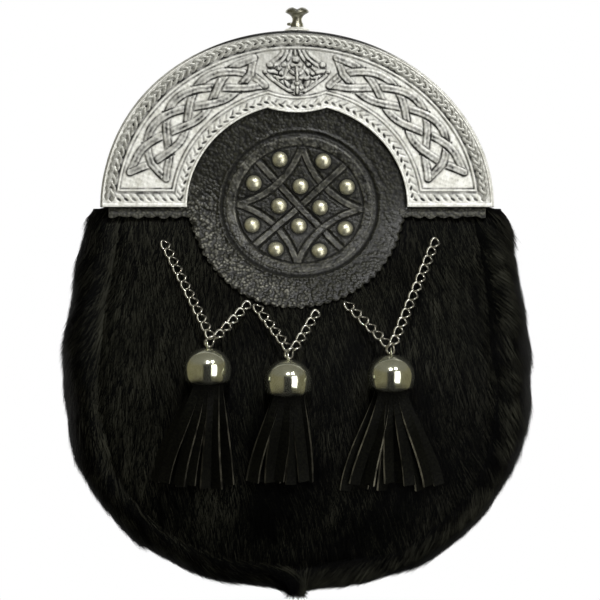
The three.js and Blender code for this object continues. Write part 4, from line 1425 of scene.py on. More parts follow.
@dataclass
class Cantle:
    """The cast half ring: sunk panel, knotwork, plaited borders, turned rim and knob."""

    outer_half: float = 80.4
    outer_rise: float = 72.0
    inner_half: float = 45.0
    inner_rise: float = 42.0
    lobe_lowest: float = 38.6
    lobe_radius: float = 40.0
    back: float = -19.9
    floor: float = -21.6
    step: float = 0.8
    rim_front: float = -21.2
    rim_back: float = -3.0
    rim_thick: float = 1.5
    border_outer: float = 6.2
    border_inner: float = 5.6
    turns: int = 900
    shares: int = 104
    strap_half: float = 1.55
    strap_high: float = 0.95
    strap_low: float = 0.6
    lap: float = 0.42
    foot_turn: float = 18.0
    head_turn: float = 72.5
    swing: float = 0.57
    foot_reach: float = 5.0
    head_reach: float = 3.6
    tip: float = 1.12
    plait_pitch: float = 3.05
    plait_height: float = 0.4
    plait_swing: float = 1.5
    plait_half: float = 0.82
    plait_inset: float = 3.8
    plait_foot: float = 5.0
    plait_proud: float = 0.28
    stamp_pitch: float = 3.1
    stamp_inset: float = 2.6
    crest_outline: Places = (
        (0.0, 46.2), (6.6, 49.8), (12.8, 55.2), (12.4, 57.4), (7.4, 59.4), (5.2, 62.6), (5.0, 66.0),
    )
    crest_strands: tuple[Places, ...] = (
        ((1.7, 66.0), (1.9, 63.2), (2.9, 60.6), (4.9, 58.4), (7.0, 56.4), (8.4, 54.2), (7.6, 52.0),
         (5.4, 50.6), (3.6, 49.4)),
        ((4.7, 66.0), (5.3, 63.0), (7.0, 61.0), (9.2, 59.4), (11.4, 57.8)),
        ((13.0, 55.0), (10.9, 52.7), (8.5, 50.9), (5.9, 49.0), (3.1, 47.3), (0.4, 46.0)),
        ((13.0, 55.0), (10.6, 55.2), (8.2, 54.7), (5.8, 53.7), (3.9, 52.4), (1.6, 52.6), (0.2, 53.6)),
        ((3.2, 66.0), (3.6, 62.8), (5.2, 60.2), (7.4, 58.4), (9.8, 57.2)),
        ((0.4, 58.0), (2.2, 57.4), (3.9, 55.8), (5.0, 53.9), (6.6, 52.6), (9.0, 53.2)),
        ((0.3, 54.0), (2.0, 54.9), (3.2, 56.8), (5.0, 58.2)),
        ((0.4, 48.4), (2.2, 48.6), (4.2, 50.2), (4.6, 52.2)),
    )
    crest_bosses: Places = (
        (0.0, 60.0, 1.35), (10.7, 57.7, 1.1), (5.0, 57.9, 0.9), (6.4, 54.2, 0.8), (0.0, 50.2, 0.8),
    )
    # Painted shadow spots: middle, and half sizes across and up.
    crest_pits: Places = (
        (2.5, 51.0, 0.9, 1.3), (3.9, 59.3, 0.5, 0.5), (6.3, 51.9, 0.6, 0.4), (2.3, 56.2, 0.45, 0.4),
        (1.1, 62.2, 0.35, 1.7), (10.2, 56.4, 2.3, 0.5), (10.6, 54.0, 1.3, 0.4), (7.0, 57.2, 0.5, 0.4),
        (2.2, 46.6, 1.1, 0.35),
    )
    crest_strap: float = 0.74
    crest_half: float = 15.0
    crest_foot: float = 44.0
    pit_reach: float = 1.05
    pit_half: float = 0.65
    skew: float = 1.2
    slot_half: float = 1.15
    slot_depth: float = 0.85
    flange: float = 1.3
    strand_steps: int = 64
    tip_steps: int = 6
    hook_levels: Places = (
        (-42.0, 0.1), (-30.0, 0.2), (30.0, 1.0), (90.0, 0.85), (150.0, 0.25), (162.0, 0.1),
    )
    knob_foot: tuple[float, float, float] = (0.0, -12.0, 72.3)
    lug_rise: float = 2.6

    def edge_line(self, inset: float, turn: Array) -> Array:
        """The outer edge drawn in by an inset, as rows of x and z."""
        return ellipse(self.outer_half - inset, self.outer_rise - inset, turn)

    def arch_line(self, inset: float, turn: Array) -> Array:
        """The inner edge with its hanging lobe, drawn out by an inset, as rows of x and z."""
        x, z = ellipse(self.inner_half + inset, self.inner_rise + inset, turn).T
        drop = np.sqrt(np.maximum((self.lobe_radius - inset) ** 2 - x**2, 0.0))
        return joined(x, np.minimum(z, self.lobe_lowest + self.lobe_radius - drop))

    def edge_distance(self, x: Array, z: Array) -> Array:
        """How far a place lies inside the outer edge."""
        return -beyond_ellipse(x, z, self.outer_half, self.outer_rise)

    def arch_distance(self, x: Array, z: Array) -> Array:
        """How far a place lies outside the inner edge and its lobe."""
        away = beyond_ellipse(x, z, self.inner_half, self.inner_rise)
        lobe = self.lobe_radius - np.hypot(x, z - (self.lobe_lowest + self.lobe_radius))
        return np.where(z > 20.0, np.maximum(away, np.where(np.abs(x) < 16.0, lobe, away)), away)

    def stamps(self, along: Array, off: Array, slant: float) -> Array:
        """A row of slanted dashes with a faint twist beside it, as stamped in the inner and foot borders.

        Args:
            along: The distance along the border.
            off: The distance from the dashes' line, positive towards the panel.
            slant: The dashes' lean in radians.

        Returns:
            How deep each place is stamped, from 0 to 1.
        """
        pitch = self.stamp_pitch
        step = np.mod(along, pitch) - pitch / 2.0
        length = step * math.cos(slant) + off * math.sin(slant)
        width = off * math.cos(slant) - step * math.sin(slant)
        dash = 1.0 - smooth(np.hypot(length / 1.3, width / 0.6), 0.55, 1.2)
        thread = np.mod(along + 0.9 * off, pitch) - pitch / 2.0
        twist = 0.7 * ridge(thread, 0.55) * smooth(off, 0.4, 0.8) * (1.0 - smooth(off, 2.1, 2.6))
        return np.maximum(dash, twist)

    def border(self, x: Array, z: Array, run: Array) -> tuple[Array, Array, Array]:
        """The stepped borders along the outer edge, the inner edge and the feet.

        Args:
            x: Places across.
            z: Places up.
            run: The distance along the inner edge.

        Returns:
            The height over the panel floor, how dark each place is from patina and painted shade, and whether
            it is in the panel.
        """
        marks = [0.0, 1.0, 1.3, 3.0, 3.3, 4.0, 5.4]
        outer = np.interp(self.edge_distance(x, z), [0.8, 1.4, 1.65, 6.1, 6.5, 7.5, 8.9], marks)
        inner = np.interp(self.arch_distance(x, z), [0.0, 0.85, 1.05, 5.1, 5.5, 6.5, 7.9], marks)
        foot = np.interp(z, [0.0, 1.6, 1.8, 5.2, 6.2, 7.2, 8.6], marks)
        depth = np.minimum.reduce([outer, inner, foot])
        rail = np.sqrt(np.clip(1.0 - ((depth - 0.5) / 0.62) ** 2, 0.0, 1.0))
        frame = np.sqrt(np.clip(1.0 - ((depth - 3.65) / 0.37) ** 2, 0.0, 1.0))
        height = np.where(depth < 3.3, 0.3, 0.0)
        height = np.maximum(height, np.where(depth <= 1.05, 0.3 + 0.6 * rail, 0.0))
        height = np.maximum(height, np.where((depth > 3.28) & (depth < 4.02), 0.08 + 0.7 * frame, 0.0))
        height = np.where((depth >= 3.0) & (depth <= 3.3), 0.08, height)
        crown = 0.75 + 0.25 * smooth(z, 40.0, 64.0)
        stamp = np.where(foot <= depth, self.stamps(x, z - 3.0, -0.64), 0.0)
        stamp = np.where(inner <= depth, self.stamps(run, self.arch_distance(x, z) - 2.15, 0.45), stamp)
        plaited = (depth > 1.0) & (depth < 3.3)
        # Darker under the outer plait and in the stamped dashes: patina in these recesses, with painted
        # shade.
        floor = np.where(outer <= depth, 0.3 + 0.65 * smooth(depth, 1.8, 2.3), 0.14 + 0.86 * stamp)
        hollow = np.where(plaited, floor, 0.0)
        height = height - np.where(plaited & (outer > depth), 0.35 * stamp, 0.0)
        # Dark lines beside the rail and on both sides of the frame: patina and painted shade, the outer frame
        # line heavier towards the top.
        hollow = np.maximum(hollow, 0.6 * ridge(depth - 1.12, 0.16))
        hollow = np.maximum(hollow, crown * ridge(depth - 3.12, 0.24 + 0.12 * crown))
        hollow = np.maximum(hollow, 0.85 * ridge(depth - 4.25, 0.38))
        return height, hollow, depth > 4.2

    def panel_point(self, turn: Array, share: Array) -> Array:
        """A place in the panel: a turn round the arch, and a share from its inner to its outer side."""
        inner = ellipse(self.inner_half + self.border_inner, self.inner_rise + self.border_inner, turn)
        return part_way(inner, self.edge_line(self.border_outer, turn), share[..., None])

    def strand(self, phase: float) -> Array:
        """One of the knot's four strands on the right side, from its foot tip to its head tip.

        Args:
            phase: Where the strand is in its wave at the foot, in degrees.

        Returns:
            Rows of x and z.
        """
        part = np.linspace(0.0, 1.0, self.strand_steps + 1)
        ease = np.linspace(0.0, 1.0, self.tip_steps + 1)
        wave = np.sin(np.radians(360.0 * part + phase))
        foot = self.tip if phase in (90.0, 180.0) else -self.tip
        head = self.tip if phase in (0.0, 90.0) else -self.tip
        turns = [
            self.foot_turn - self.foot_reach * (1.0 - ease[:-1]),
            part_way(self.foot_turn, self.head_turn, part),
            self.head_turn + self.head_reach * ease[1:],
        ]
        waves = [part_way(foot, wave[0], ease[:-1]), wave, part_way(wave[-1], head, ease[1:])]
        share = 0.5 + 0.5 * self.swing * np.concatenate(waves)
        return self.panel_point(np.radians(np.concatenate(turns)), share)

    def weave(self, phase: Array) -> Array:
        """Whether a strand lies over (1) or under (-1) at a phase of its wave in degrees."""
        marks = [-45.0, 0.0, 45.0, 135.0, 180.0, 225.0, 315.0, 360.0, 405.0]
        levels = [-1.0, 1.0, -1.0, 1.0, -1.0, 1.0, -1.0, 1.0, -1.0]
        return np.interp(np.mod(phase + 45.0, 360.0) - 45.0, marks, levels)

    def straps(self, places: Array) -> tuple[Array, Array]:
        """The knot and crest straps over the panel floor, on the right half.

        Args:
            places: Rows of x and z.

        Returns:
            The height over the floor, and how dark each place is from patina and painted shade.
        """
        drawn: list[tuple[Array, Array, float]] = []
        for phase in (0.0, 90.0, 180.0, 270.0):
            distance, station = line_distance(places, self.strand(phase))
            part = (station - self.tip_steps) / self.strand_steps
            level = self.weave(360.0 * np.clip(part, -0.05, 1.05) + phase)
            drawn.append((distance, level, self.strap_half))
        near = (places[:, 0] < self.crest_half) & (places[:, 1] > self.crest_foot)
        for line, level, half in self.crest_lines():
            distance, station = np.full(len(places), OUTSIDE), np.zeros(len(places))
            distance[near], station[near] = line_distance(places[near], curved(line))
            drawn.append((distance, level + 0.7 * np.cos(math.pi * station / CURVE_STEPS), half))
        edge = np.array(self.crest_outline)
        crest = places[:, 0] < np.interp(places[:, 1], edge[:, 1], edge[:, 0])
        height = np.zeros(len(places))
        # Painted shade over the crest's floor between its strands.
        hollow = np.where(crest, 0.6, 0.0)
        top = np.full(len(places), NO_STRAP)
        for distance, level, half in drawn:
            share = np.clip(distance / half, 0.0, 1.0)
            split = ridge(distance, 0.5) if half == self.strap_half else np.zeros(len(places))
            crown = (1.0 - share**6) * (1.0 - 0.2 * split)
            rise = part_way(self.strap_low, self.strap_high, 0.5 + 0.5 * level)
            inside = (distance < half) & (level > top)
            height = np.where(inside, rise * crown, height)
            # On a strap: a grey tone, patina in its middle groove and painted shade on its rounded edges.
            hollow = np.where(inside, 0.42 + 0.3 * split + 0.5 * smooth(share, 0.62, 0.96), hollow)
            top = np.where(inside, level, top)
        strapped = top > NO_STRAP
        for distance, level, half in drawn:
            brink = (distance > half) & (distance < half + self.lap)
            # Painted shadow where a strap passes under another.
            cut = brink & (level > top + 0.25) & strapped
            height = np.where(cut, 0.06, height)
            hollow = np.where(cut, 0.95, hollow)
            # Painted shade on the floor beside each strap, partly patina in the corner.
            halo = np.where(strapped, 0.0, 0.9 * ridge(distance - half, 0.5))
            hollow = np.maximum(hollow, halo)
        # Painted shadow spots: the straps cut down to the floor and darkened.
        for x, z, wide, tall in (*self.crest_pits, *self.knot_pits()):
            off = np.hypot((places[:, 0] - x) / wide, (places[:, 1] - z) / tall)
            height = height * smooth(off, 0.5, 1.1)
            hollow = np.maximum(hollow, 1.0 - smooth(off, 0.7, 1.15))
        return height, hollow

    def knot_pits(self) -> list[tuple[float, float, float, float]]:
        """The painted shadow spots beside the knot, where its outer bows meet: middle and half sizes."""
        stations = self.foot_turn + (self.head_turn - self.foot_turn) * (np.arange(4) + 0.5) / 4.0
        reach = 0.5 * self.swing * self.pit_reach
        pits = []
        for side in (-1.0, 1.0):
            spots = self.panel_point(np.radians(stations), np.full(4, 0.5 + side * reach))
            pits += [(float(x), float(z), self.pit_half, self.pit_half) for x, z in spots]
        return pits

    def crest_lines(self) -> list[tuple[Array, float, float]]:
        """The crest's strands and bosses: rows of x and z, their level in the weave, and half their width."""
        lines = [(np.array(strand), 0.1 * i, self.crest_strap) for i, strand in enumerate(self.crest_strands)]
        lines.append((np.array([(0.0, 46.2), (0.0, 65.8)]), 1.2, 0.55))
        for x, z, radius in self.crest_bosses:
            lines.append((np.array([(x - 0.2, z), (x + 0.2, z)]), 3.0, radius))
        return lines

    def skewed(self, x: Array, z: Array) -> Array:
        """Places across, with the upper outer edge drawn a little to the left, as it was cast."""
        level = np.sqrt((x / self.outer_half) ** 2 + (z / self.outer_rise) ** 2)
        return x - self.skew * smooth(z, 12.0, 62.0) * smooth(level, 0.7, 1.0)

    def under_edges(self, x: Array, z: Array, rise: Array) -> Array:
        """How steeply the straps fall away downwards, for painted shade on their lower sides; negative on
        their upper sides, for a painted highlight.

        Args:
            x: Places across, as a grid.
            z: Places up, as a grid.
            rise: The straps' height over the floor.

        Returns:
            The slope at each place.
        """
        soft = rise
        for axis in (0, 1, 0, 1):
            soft = (np.roll(soft, 1, axis) + 2.0 * soft + np.roll(soft, -1, axis)) / 4.0
        (x_turn, x_share), (z_turn, z_share), (h_turn, h_share) = (np.gradient(t) for t in (x, z, soft))
        area = x_turn * z_share - z_turn * x_share
        area = np.where(np.abs(area) < SMALL, SMALL, area)
        across = (h_turn * z_share - z_turn * h_share) / area
        upward = (x_turn * h_share - h_turn * x_share) / area
        return upward + 0.4 * across * (x > 0.0)

    def add_face(self, cast: Material) -> Object:
        """Builds the cast front as one fine relief over the half ring."""
        turn = angles(0.0, 180.0, self.turns + 1)
        share = np.linspace(0.0, 1.0, self.shares + 1)
        inner, outer = self.arch_line(0.0, turn), self.edge_line(self.step, turn)
        plan = part_way(inner[:, None], outer[:, None], share[:, None])
        x, z = plan[..., 0], np.maximum(plan[..., 1], 0.0)
        run = travelled(self.arch_line(self.stamp_inset, turn))
        height, hollow, panel = self.border(x, z, np.broadcast_to(run[:, None], x.shape))
        right = joined(np.abs(x).ravel(), z.ravel())
        rise, deep = (table.reshape(x.shape) for table in self.straps(right))
        under = self.under_edges(x, z, rise)
        # Painted shade on the straps' lower sides and a painted highlight on their upper sides.
        deep = deep + 0.6 * smooth(under, 0.25, 1.1) - 0.65 * smooth(-under, 0.25, 1.1)
        deep = deep + 0.16 * ripple(x, z, 1.7, 63) * smooth(rise, 0.1, 0.4)
        height = np.where(panel, rise, height)
        hollow = np.where(panel, np.maximum(hollow, deep), hollow)
        # Painted reflection: darker over the crest, at the top of the arch.
        darker_crest_reflection = 0.34 * smooth(z, 40.0, 62.0) * (1.0 - smooth(np.abs(x), 16.0, 44.0))
        grain, blotch = ripple(x, z, 1.5, 61), ripple(x, z, 4.5, 62)
        hollow = np.maximum(hollow * (0.9 + 0.3 * blotch), darker_crest_reflection) + 0.16 * np.maximum(grain, 0.0)
        # Painted shadow: a dark band along the outer edge across the top of the arch.
        top = 1.0 - smooth(np.abs(x), 20.0, 44.0)
        hollow = np.maximum(hollow, top * (1.0 - smooth(self.edge_distance(x, z), 1.0, 1.5)))
        hollow = np.clip(hollow, 0.0, 1.0)
        front = joined(self.skewed(x, z), self.floor - height - 0.045 * grain, z)
        back = front[:, [-1, 0]]
        back[..., 1] = self.back
        points = np.concatenate([front, back], axis=1)
        piece = add_piece("cantle_face", points.reshape(-1, 3), tube_faces(*points.shape[:2]), cast)
        store(piece, "hollow", np.pad(hollow, ((0, 0), (0, 2))).ravel())
        return mend(piece)

    def add_rim(self, cast: Material) -> Object:
        """Builds the rim that turns back over the pouch's mouth, with its step darkened by painted shade."""
        x, z = self.edge_line(0.0, angles(0.0, 180.0, 241)).T
        normal = unit(joined(x / self.outer_half**2, z / self.outer_rise**2))
        inward = -joined(normal[:, 0], 0.0, normal[:, 1])
        inward[0], inward[-1] = -TO_RIGHT, TO_RIGHT
        front, rear, thick = self.rim_front, self.rim_back, self.rim_thick
        section = np.array(
            [
                (self.step + 0.02, front + 0.15), (0.7, front), (0.3, front - 0.05), (0.08, front + 0.2),
                (0.0, front + 0.7), (0.0, front + 1.4), (0.0, rear - 0.6), (0.18, rear - 0.12), (0.6, rear),
                (thick, rear), (thick, self.back + 0.02), (self.step + 0.02, self.back + 0.02),
            ]
        )
        points, faces = sweep(joined(x, 0.0, z), inward, TO_BACK, section)
        points[:, 0] = self.skewed(points[:, 0], points[:, 2])
        piece = add_piece("cantle_rim", points, faces, cast)
        # Painted shade along the rim's step and face, heaviest at the top of the arch and darker towards the
        # left foot.
        aged = 0.3 + 0.2 * smooth(-x, 40.0, 66.0)
        crown = aged + (1.0 - aged) * (1.0 - smooth(np.abs(x), 28.0, 56.0))
        deep = np.zeros((len(x), len(section)))
        deep[:, 0] = np.maximum(crown, 0.8)
        deep[:, 1:5] = crown[:, None]
        deep[:, 5:7] = 0.2
        store(piece, "hollow", deep.ravel())
        return mend(piece)

    def add_plait(self, worn: Material) -> list[Object]:
        """Lays a three-strand plait along the outer edge, in the darker copy of the casting that paints its
        shade.
        """
        line = self.edge_line(self.plait_inset, angles(0.0, 180.0, 721))
        line = line[line[:, 1] > self.plait_foot]
        later = line[travelled(line) > self.plait_pitch / 2.0]
        pieces = []
        for name, swing, row in (("over", self.plait_swing, line), ("under", -self.plait_swing, later)):
            pattern = self.add_hook(swing, worn)
            points = joined(self.skewed(*row.T), self.floor - self.plait_proud, row[:, 1])
            carrier = add_line(f"{name}_line", points, closed=False)
            label = f"cantle_plait_{name}"
            pieces.append(lay_row(label, pattern, carrier, self.plait_pitch, (0.0, -1.0, 0.0), worn))
            remove(pattern)
        return pieces

    def add_hook(self, swing: float, cast: Material) -> Object:
        """The stretch of one plaited strand that shows: it rises over one strand and dives under the next.

        Args:
            swing: How far the strand swings across, with its side as the sign.
            cast: The casting's material.

        Returns:
            The pattern, lying along X with its back on the floor.
        """
        phase = np.linspace(-42.0, 162.0, 9)
        along = 3.0 * self.plait_pitch * (phase - 60.0) / 360.0
        centres = joined(along, -swing * np.sin(np.radians(phase)), 0.0)
        forward = unit(np.gradient(centres, axis=0))
        level = self.plait_height * np.interp(phase, *np.array(self.hook_levels).T)
        section = np.array([(-1.0, 0.0), (-0.72, 0.74), (0.0, 1.0), (0.72, 0.74), (1.0, 0.0)])
        table = joined(section[:, 0] * self.plait_half, section[:, 1] * level[:, None] - 0.08)
        strand = sweep(centres, np.cross(UPWARDS, forward), UPWARDS, table)
        return mend(add_piece("hook_pattern", *strand, cast))

    def add_knob(self, aged: Material, cast: Material) -> Object:
        """Turns the knob on top of the arch: a bright flange, a thin neck and a notched head."""
        profile = np.array(
            [
                (0.0, 0.0), (5.2, 0.0), (5.2, 0.25), (4.7, 0.6), (3.6, 1.1), (2.9, 1.4), (2.6, 1.7),
                (2.55, 2.2), (2.45, 2.8), (2.2, 3.2), (2.0, 3.8), (1.95, 4.4), (2.05, 5.1), (2.4, 5.8),
                (3.1, 6.45), (4.1, 7.0), (4.7, 7.35), (4.8, 7.7), (4.6, 8.2), (4.0, 8.8), (3.2, 9.3),
                (2.2, 9.55), (1.1, 9.65), (0.0, 9.65),
            ]
        )
        points, faces = revolve(profile, 48)
        head = np.clip((points[:, 2] - 7.6) / 1.2, 0.0, 1.0)
        points[:, 2] -= self.slot_depth * head * ridge(points[:, 0], self.slot_half)
        piece = add_piece("knob_turned", points + np.array(self.knob_foot), faces, aged)
        piece.data.materials.append(cast)
        low = [int(points[list(face), 2].mean() < self.flange) for face in faces]
        piece.data.polygons.foreach_set("material_index", low)
        # Painted dark reflection on the head's top; darker in its notch.
        top = np.clip((points[:, 2] - 5.6) / 1.2, 0.0, 1.0)
        store(piece, "hollow", np.maximum(0.3 * top, 0.7 * head * ridge(points[:, 0], self.slot_half)))
        return mend(piece)

    def add_lug(self, cast: Material) -> Object:
        """The small lug that stands out of the knob's collar on the left."""
        stations = np.linspace(0.0, 1.0, 7)
        _, y, z = self.knob_foot
        centres = joined(-2.2 - 1.9 * stations, y, z + self.lug_rise)
        size = 1.0 - 0.35 * stations**3
        table = ellipse(1.15, 0.68, circle(12)) * size[:, None, None]
        return mend(add_piece("knob_lug", *sweep(centres, TO_BACK, UPWARDS, table), cast))

    def build(self, finishes: Finishes) -> None:
        """Builds the casting, its plaited borders and the knob."""
        seat(self.add_face(finishes.cast), Slot.CANTLE, "cantle")
        seat(self.add_rim(finishes.cast), Slot.CANTLE)
        for row in self.add_plait(finishes.worn):
            seat(row, Slot.CANTLE)
        seat(self.add_knob(finishes.aged, finishes.cast), Slot.CANTLE, "knob")
        seat(self.add_lug(finishes.aged), Slot.CANTLE)


# Tassels


@dataclass(frozen=True)
class TasselPlace:
    """Where one tassel hangs, what holds its chain, how far its strips fan out, and how far its chain
    meets beside the bell's eye."""

    side: str
    x: float
    top: float
    tucks: tuple[float, ...]
    holes: Places
    fan: tuple[float, float]
    foot: float
    shift: float
    pale: bool
    seed: int


TASSELS = (
    TasselPlace("left", -36.3, -57.2, (-19.0,), ((-54.7, -13.5),), (-59.6, -26.5), -114.0, 2.6, False, 51),
    TasselPlace("middle", -3.7, -61.9, (-17.2, 8.6), (), (-21.2, 7.5), -112.6, 1.6, False, 52),
    TasselPlace("right", 38.0, -60.0, (19.4,), ((57.1, -12.7),), (16.7, 58.8), -114.7, 0.0, True, 53),
)


@dataclass
class Tassel:
    """A chain, a bell and the leather strips in it."""

    form: PouchForm
    flap: Flap
    place: TasselPlace
    wire: float = 1.0
    link_width: float = 4.5
    pitch: float = 4.55
    bite: float = 0.08
    stand_off: float = 1.8
    lean: float = 40.0
    twist: float = 45.0
    tuck_drop: float = 2.3
    bell_lean: float = 10.0
    joint_rise: float = 3.6
    eye_ring: float = 1.3
    eye_wire: float = 0.8
    eye_rise: float = 1.2
    radius: float = 9.6
    height: float = 14.3
    shoulder: float = 8.6
    lip: float = 9.25
    lip_round: float = 2.3
    clearance: float = 0.5
    strips: int = 11
    strip_top: float = 2.9
    strip_foot: float = 4.6
    strip_thick: float = 1.1
    gather: float = 4.6
    first_face: tuple[float, float, float] = (0.6, -0.8, 0.0)
    cavity: Places = (
        (7.4, -10.5), (7.7, -8.4), (6.6, -5.0), (4.4, -2.6), (2.0, -1.7), (0.0, -1.5),
    )
    tuck_in: float = 4.0
    layers: tuple[float, float] = (1.9, -1.9)

    def front(self, x: float, z: float) -> float:
        """How far the pouch's front stands off the rear face at one place."""
        return float(self.form.front_depth(np.array([x]), np.array([z]))[0])

    @property
    def axis(self) -> float:
        """Where the bell's upright axis lies, front to back."""
        return -(self.front(self.place.x, self.place.top - self.shoulder) + self.radius + self.clearance)

    def leaned(self, points: Array) -> Array:
        """Tips points of the bell about its shoulder, so that its mouth goes to the back."""
        pivot = np.array([self.place.x, self.axis, self.place.top - self.shoulder])
        turn = math.radians(self.bell_lean)
        cosine, sine = math.cos(turn), math.sin(turn)
        x, y, z = (np.asarray(points) - pivot).T
        return joined(x, y * cosine - z * sine, z * cosine + y * sine) + pivot

    def fixed_ends(self) -> list[Array]:
        """Where the chain's legs end: under the flap's edge or in a hole in the hide."""
        spots = [(x, self.flap.tongue_edge(x) - self.tuck_drop) for x in self.place.tucks]
        spots += self.place.holes
        return [np.array([x, -(self.front(x, z) + self.stand_off), z]) for x, z in spots]

    def link_places(self) -> tuple[Array, Array, Array, Array]:
        """Each link's centre, direction, facing and length factor."""
        tilt = math.radians(self.lean)
        upright = np.array([0.0, math.sin(tilt), math.cos(tilt)])
        normal = np.array([0.0, math.cos(tilt), -math.sin(tilt)])
        overlap = self.wire - self.bite
        half = (self.pitch + overlap) / 2.0
        eye = self.leaned(np.array([[self.place.x, self.axis, self.place.top + self.eye_rise]]))[0]
        joint = eye + upright * self.joint_rise + self.place.shift * TO_RIGHT
        rise = float(np.linalg.norm(joint - eye))
        first = rise / 2.0 + self.wire * 0.9
        rows = [((eye + joint) / 2.0, (joint - eye) / rise, np.array(self.first_face), first)]
        for end in self.fixed_ends():
            side = math.copysign(1.0, end[0] - joint[0])
            start = joint + side * self.wire * 0.6 * TO_RIGHT - upright * overlap * 0.6
            length = float(np.linalg.norm(end - start))
            along = (end - start) / length
            count = round(length / self.pitch)
            reach = (length + (count - 1) * overlap) / (2.0 * count)
            across = unit(normal - along * float(normal @ along))
            for i in range(count):
                rows.append((start + along * (reach + i * (2.0 * reach - overlap)), along, across, reach))
        centres, ways, faces, halves = (np.array(column) for column in zip(*rows))
        return centres, ways, faces, halves / half

    def add_link(self, wire: Material) -> Object:
        """One oval link in the XY plane, twisted along its length so that the next one passes through."""
        thick = self.wire / 2.0
        bend = self.link_width / 2.0 - thick
        half = (self.pitch + self.wire - self.bite) / 2.0 - thick
        turn = circle(28)
        x = bend * np.cos(turn) + (half - bend) * np.tanh(6.0 * np.cos(turn))
        centres = joined(x, bend * np.sin(turn), 0.0)
        forward = unit(np.roll(centres, -1, axis=0) - np.roll(centres, 1, axis=0))
        section = ellipse(thick, thick, circle(8))
        points, faces = sweep(centres, np.cross(forward, UPWARDS), UPWARDS, section, closed=True)
        x, y, z = points.T
        turned = math.radians(self.twist) * np.clip(x / half, -1.0, 1.0)
        cosine, sine = np.cos(turned), np.sin(turned)
        points = joined(x, y * cosine - z * sine, y * sine + z * cosine)
        return mend(add_piece("link_pattern", points, faces, wire))

    def add_chain(self, wire: Material) -> Object:
        """Sets a link at each place of the chain."""
        centres, ways, faces, factors = self.link_places()
        tables = (faces, ways, joined(factors, 1.0, 1.0))
        return set_out(f"chain_links_{self.place.side}", self.add_link(wire), centres, tables, wire)

    def add_bell(self, chrome: Material) -> Object:
        """Turns the bell: a domed cup with a rolled lip, open below."""
        turn = angles(0.0, 90.0, 22)
        dome = joined(self.radius * np.sin(turn), -self.shoulder * (1.0 - np.cos(turn)))
        fall = np.linspace(0.0, 1.0, 9)[1:]
        side = joined(
            self.radius - (self.radius - self.lip) * fall**2.2,
            -self.shoulder - (self.height - self.lip_round - self.shoulder) * fall,
        )
        turn = angles(0.0, 90.0, 5)[1:]
        bead = joined(
            self.lip - self.lip_round * (1.0 - np.cos(turn)),
            self.lip_round * (1.0 - np.sin(turn)) - self.height,
        )
        inside = [(6.8, 0.4 - self.height), *self.cavity]
        points, faces = revolve(np.concatenate([dome, side, bead, inside]), 72)
        centre = np.array([self.place.x, self.axis, self.place.top])
        piece = add_piece(f"bell_cup_{self.place.side}", self.leaned(points + centre), faces, chrome)
        # Painted reflection of the dark hair: the lip darker, up to a wavy line.
        uneven = 0.7 * ripple(points[:, 0], points[:, 1], 6.0, self.place.seed)
        store(piece, "hollow", 0.8 * smooth(uneven - points[:, 2], self.height - 2.6, self.height - 0.5))
        return mend(piece)

    def add_eye(self, chrome: Material) -> Object:
        """The ring on the bell's crown that the chain runs through, on its small collar."""
        turn = circle(24)
        outward = joined(0.0, np.cos(turn), np.sin(turn))
        centre = np.array([self.place.x, self.axis, self.place.top + self.eye_rise])
        section = ellipse(self.eye_wire / 2.0, self.eye_wire / 2.0, circle(10))
        points, faces = sweep(centre + self.eye_ring * outward, outward, TO_RIGHT, section, closed=True)
        return mend(add_piece(f"bell_eye_{self.place.side}", self.leaned(points), faces, chrome))

    def strip_path(self, order: int, rng: np.random.Generator) -> tuple[Array, Array, Array]:
        """One strip's line from the bell's mouth to its foot.

        Args:
            order: The strip's number from the left.
            rng: Gives the strip its own lie.

        Returns:
            The line's points, the strip's half widths and its twist in radians.
        """
        place = self.place
        share = order / (self.strips - 1)
        layer = order % 2
        down = np.linspace(0.0, 1.0, 19)
        foot_z = place.foot + rng.uniform(-0.6, 2.6)
        z = part_way(place.top - self.height + self.tuck_in, foot_z, down)
        top_x = place.x + (share - 0.5) * 2.0 * self.gather
        left, right = place.fan
        foot_x = left + self.strip_foot / 2.0 + (right - left - self.strip_foot) * share
        foot_x += rng.uniform(-1.2, 1.2)
        open_out = smooth(down, 0.02, 1.0) * 0.55 + 0.45 * np.clip((down - 0.08) / 0.92, 0.0, 1.0)
        bow = rng.uniform(-1.0, 1.0) * np.sin(math.pi * down)
        x = part_way(top_x, foot_x, open_out) + bow
        rest = -(self.form.front_depth(x, z) + 1.5 + layer * 2.1)
        top_y = self.axis + self.layers[layer]
        y = np.minimum(part_way(top_y, rest, smooth(down, 0.12, 0.95)), rest)
        width = part_way(self.strip_top, self.strip_foot, smooth(down, 0.05, 0.6)) / 2.0
        twist = rng.choice([-1.0, 1.0]) * math.radians(rng.uniform(18.0, 38.0)) * smooth(down, 0.1, 0.55)
        twist = twist + math.radians(rng.uniform(-10.0, 10.0)) * down
        return joined(x, y, z), width, twist

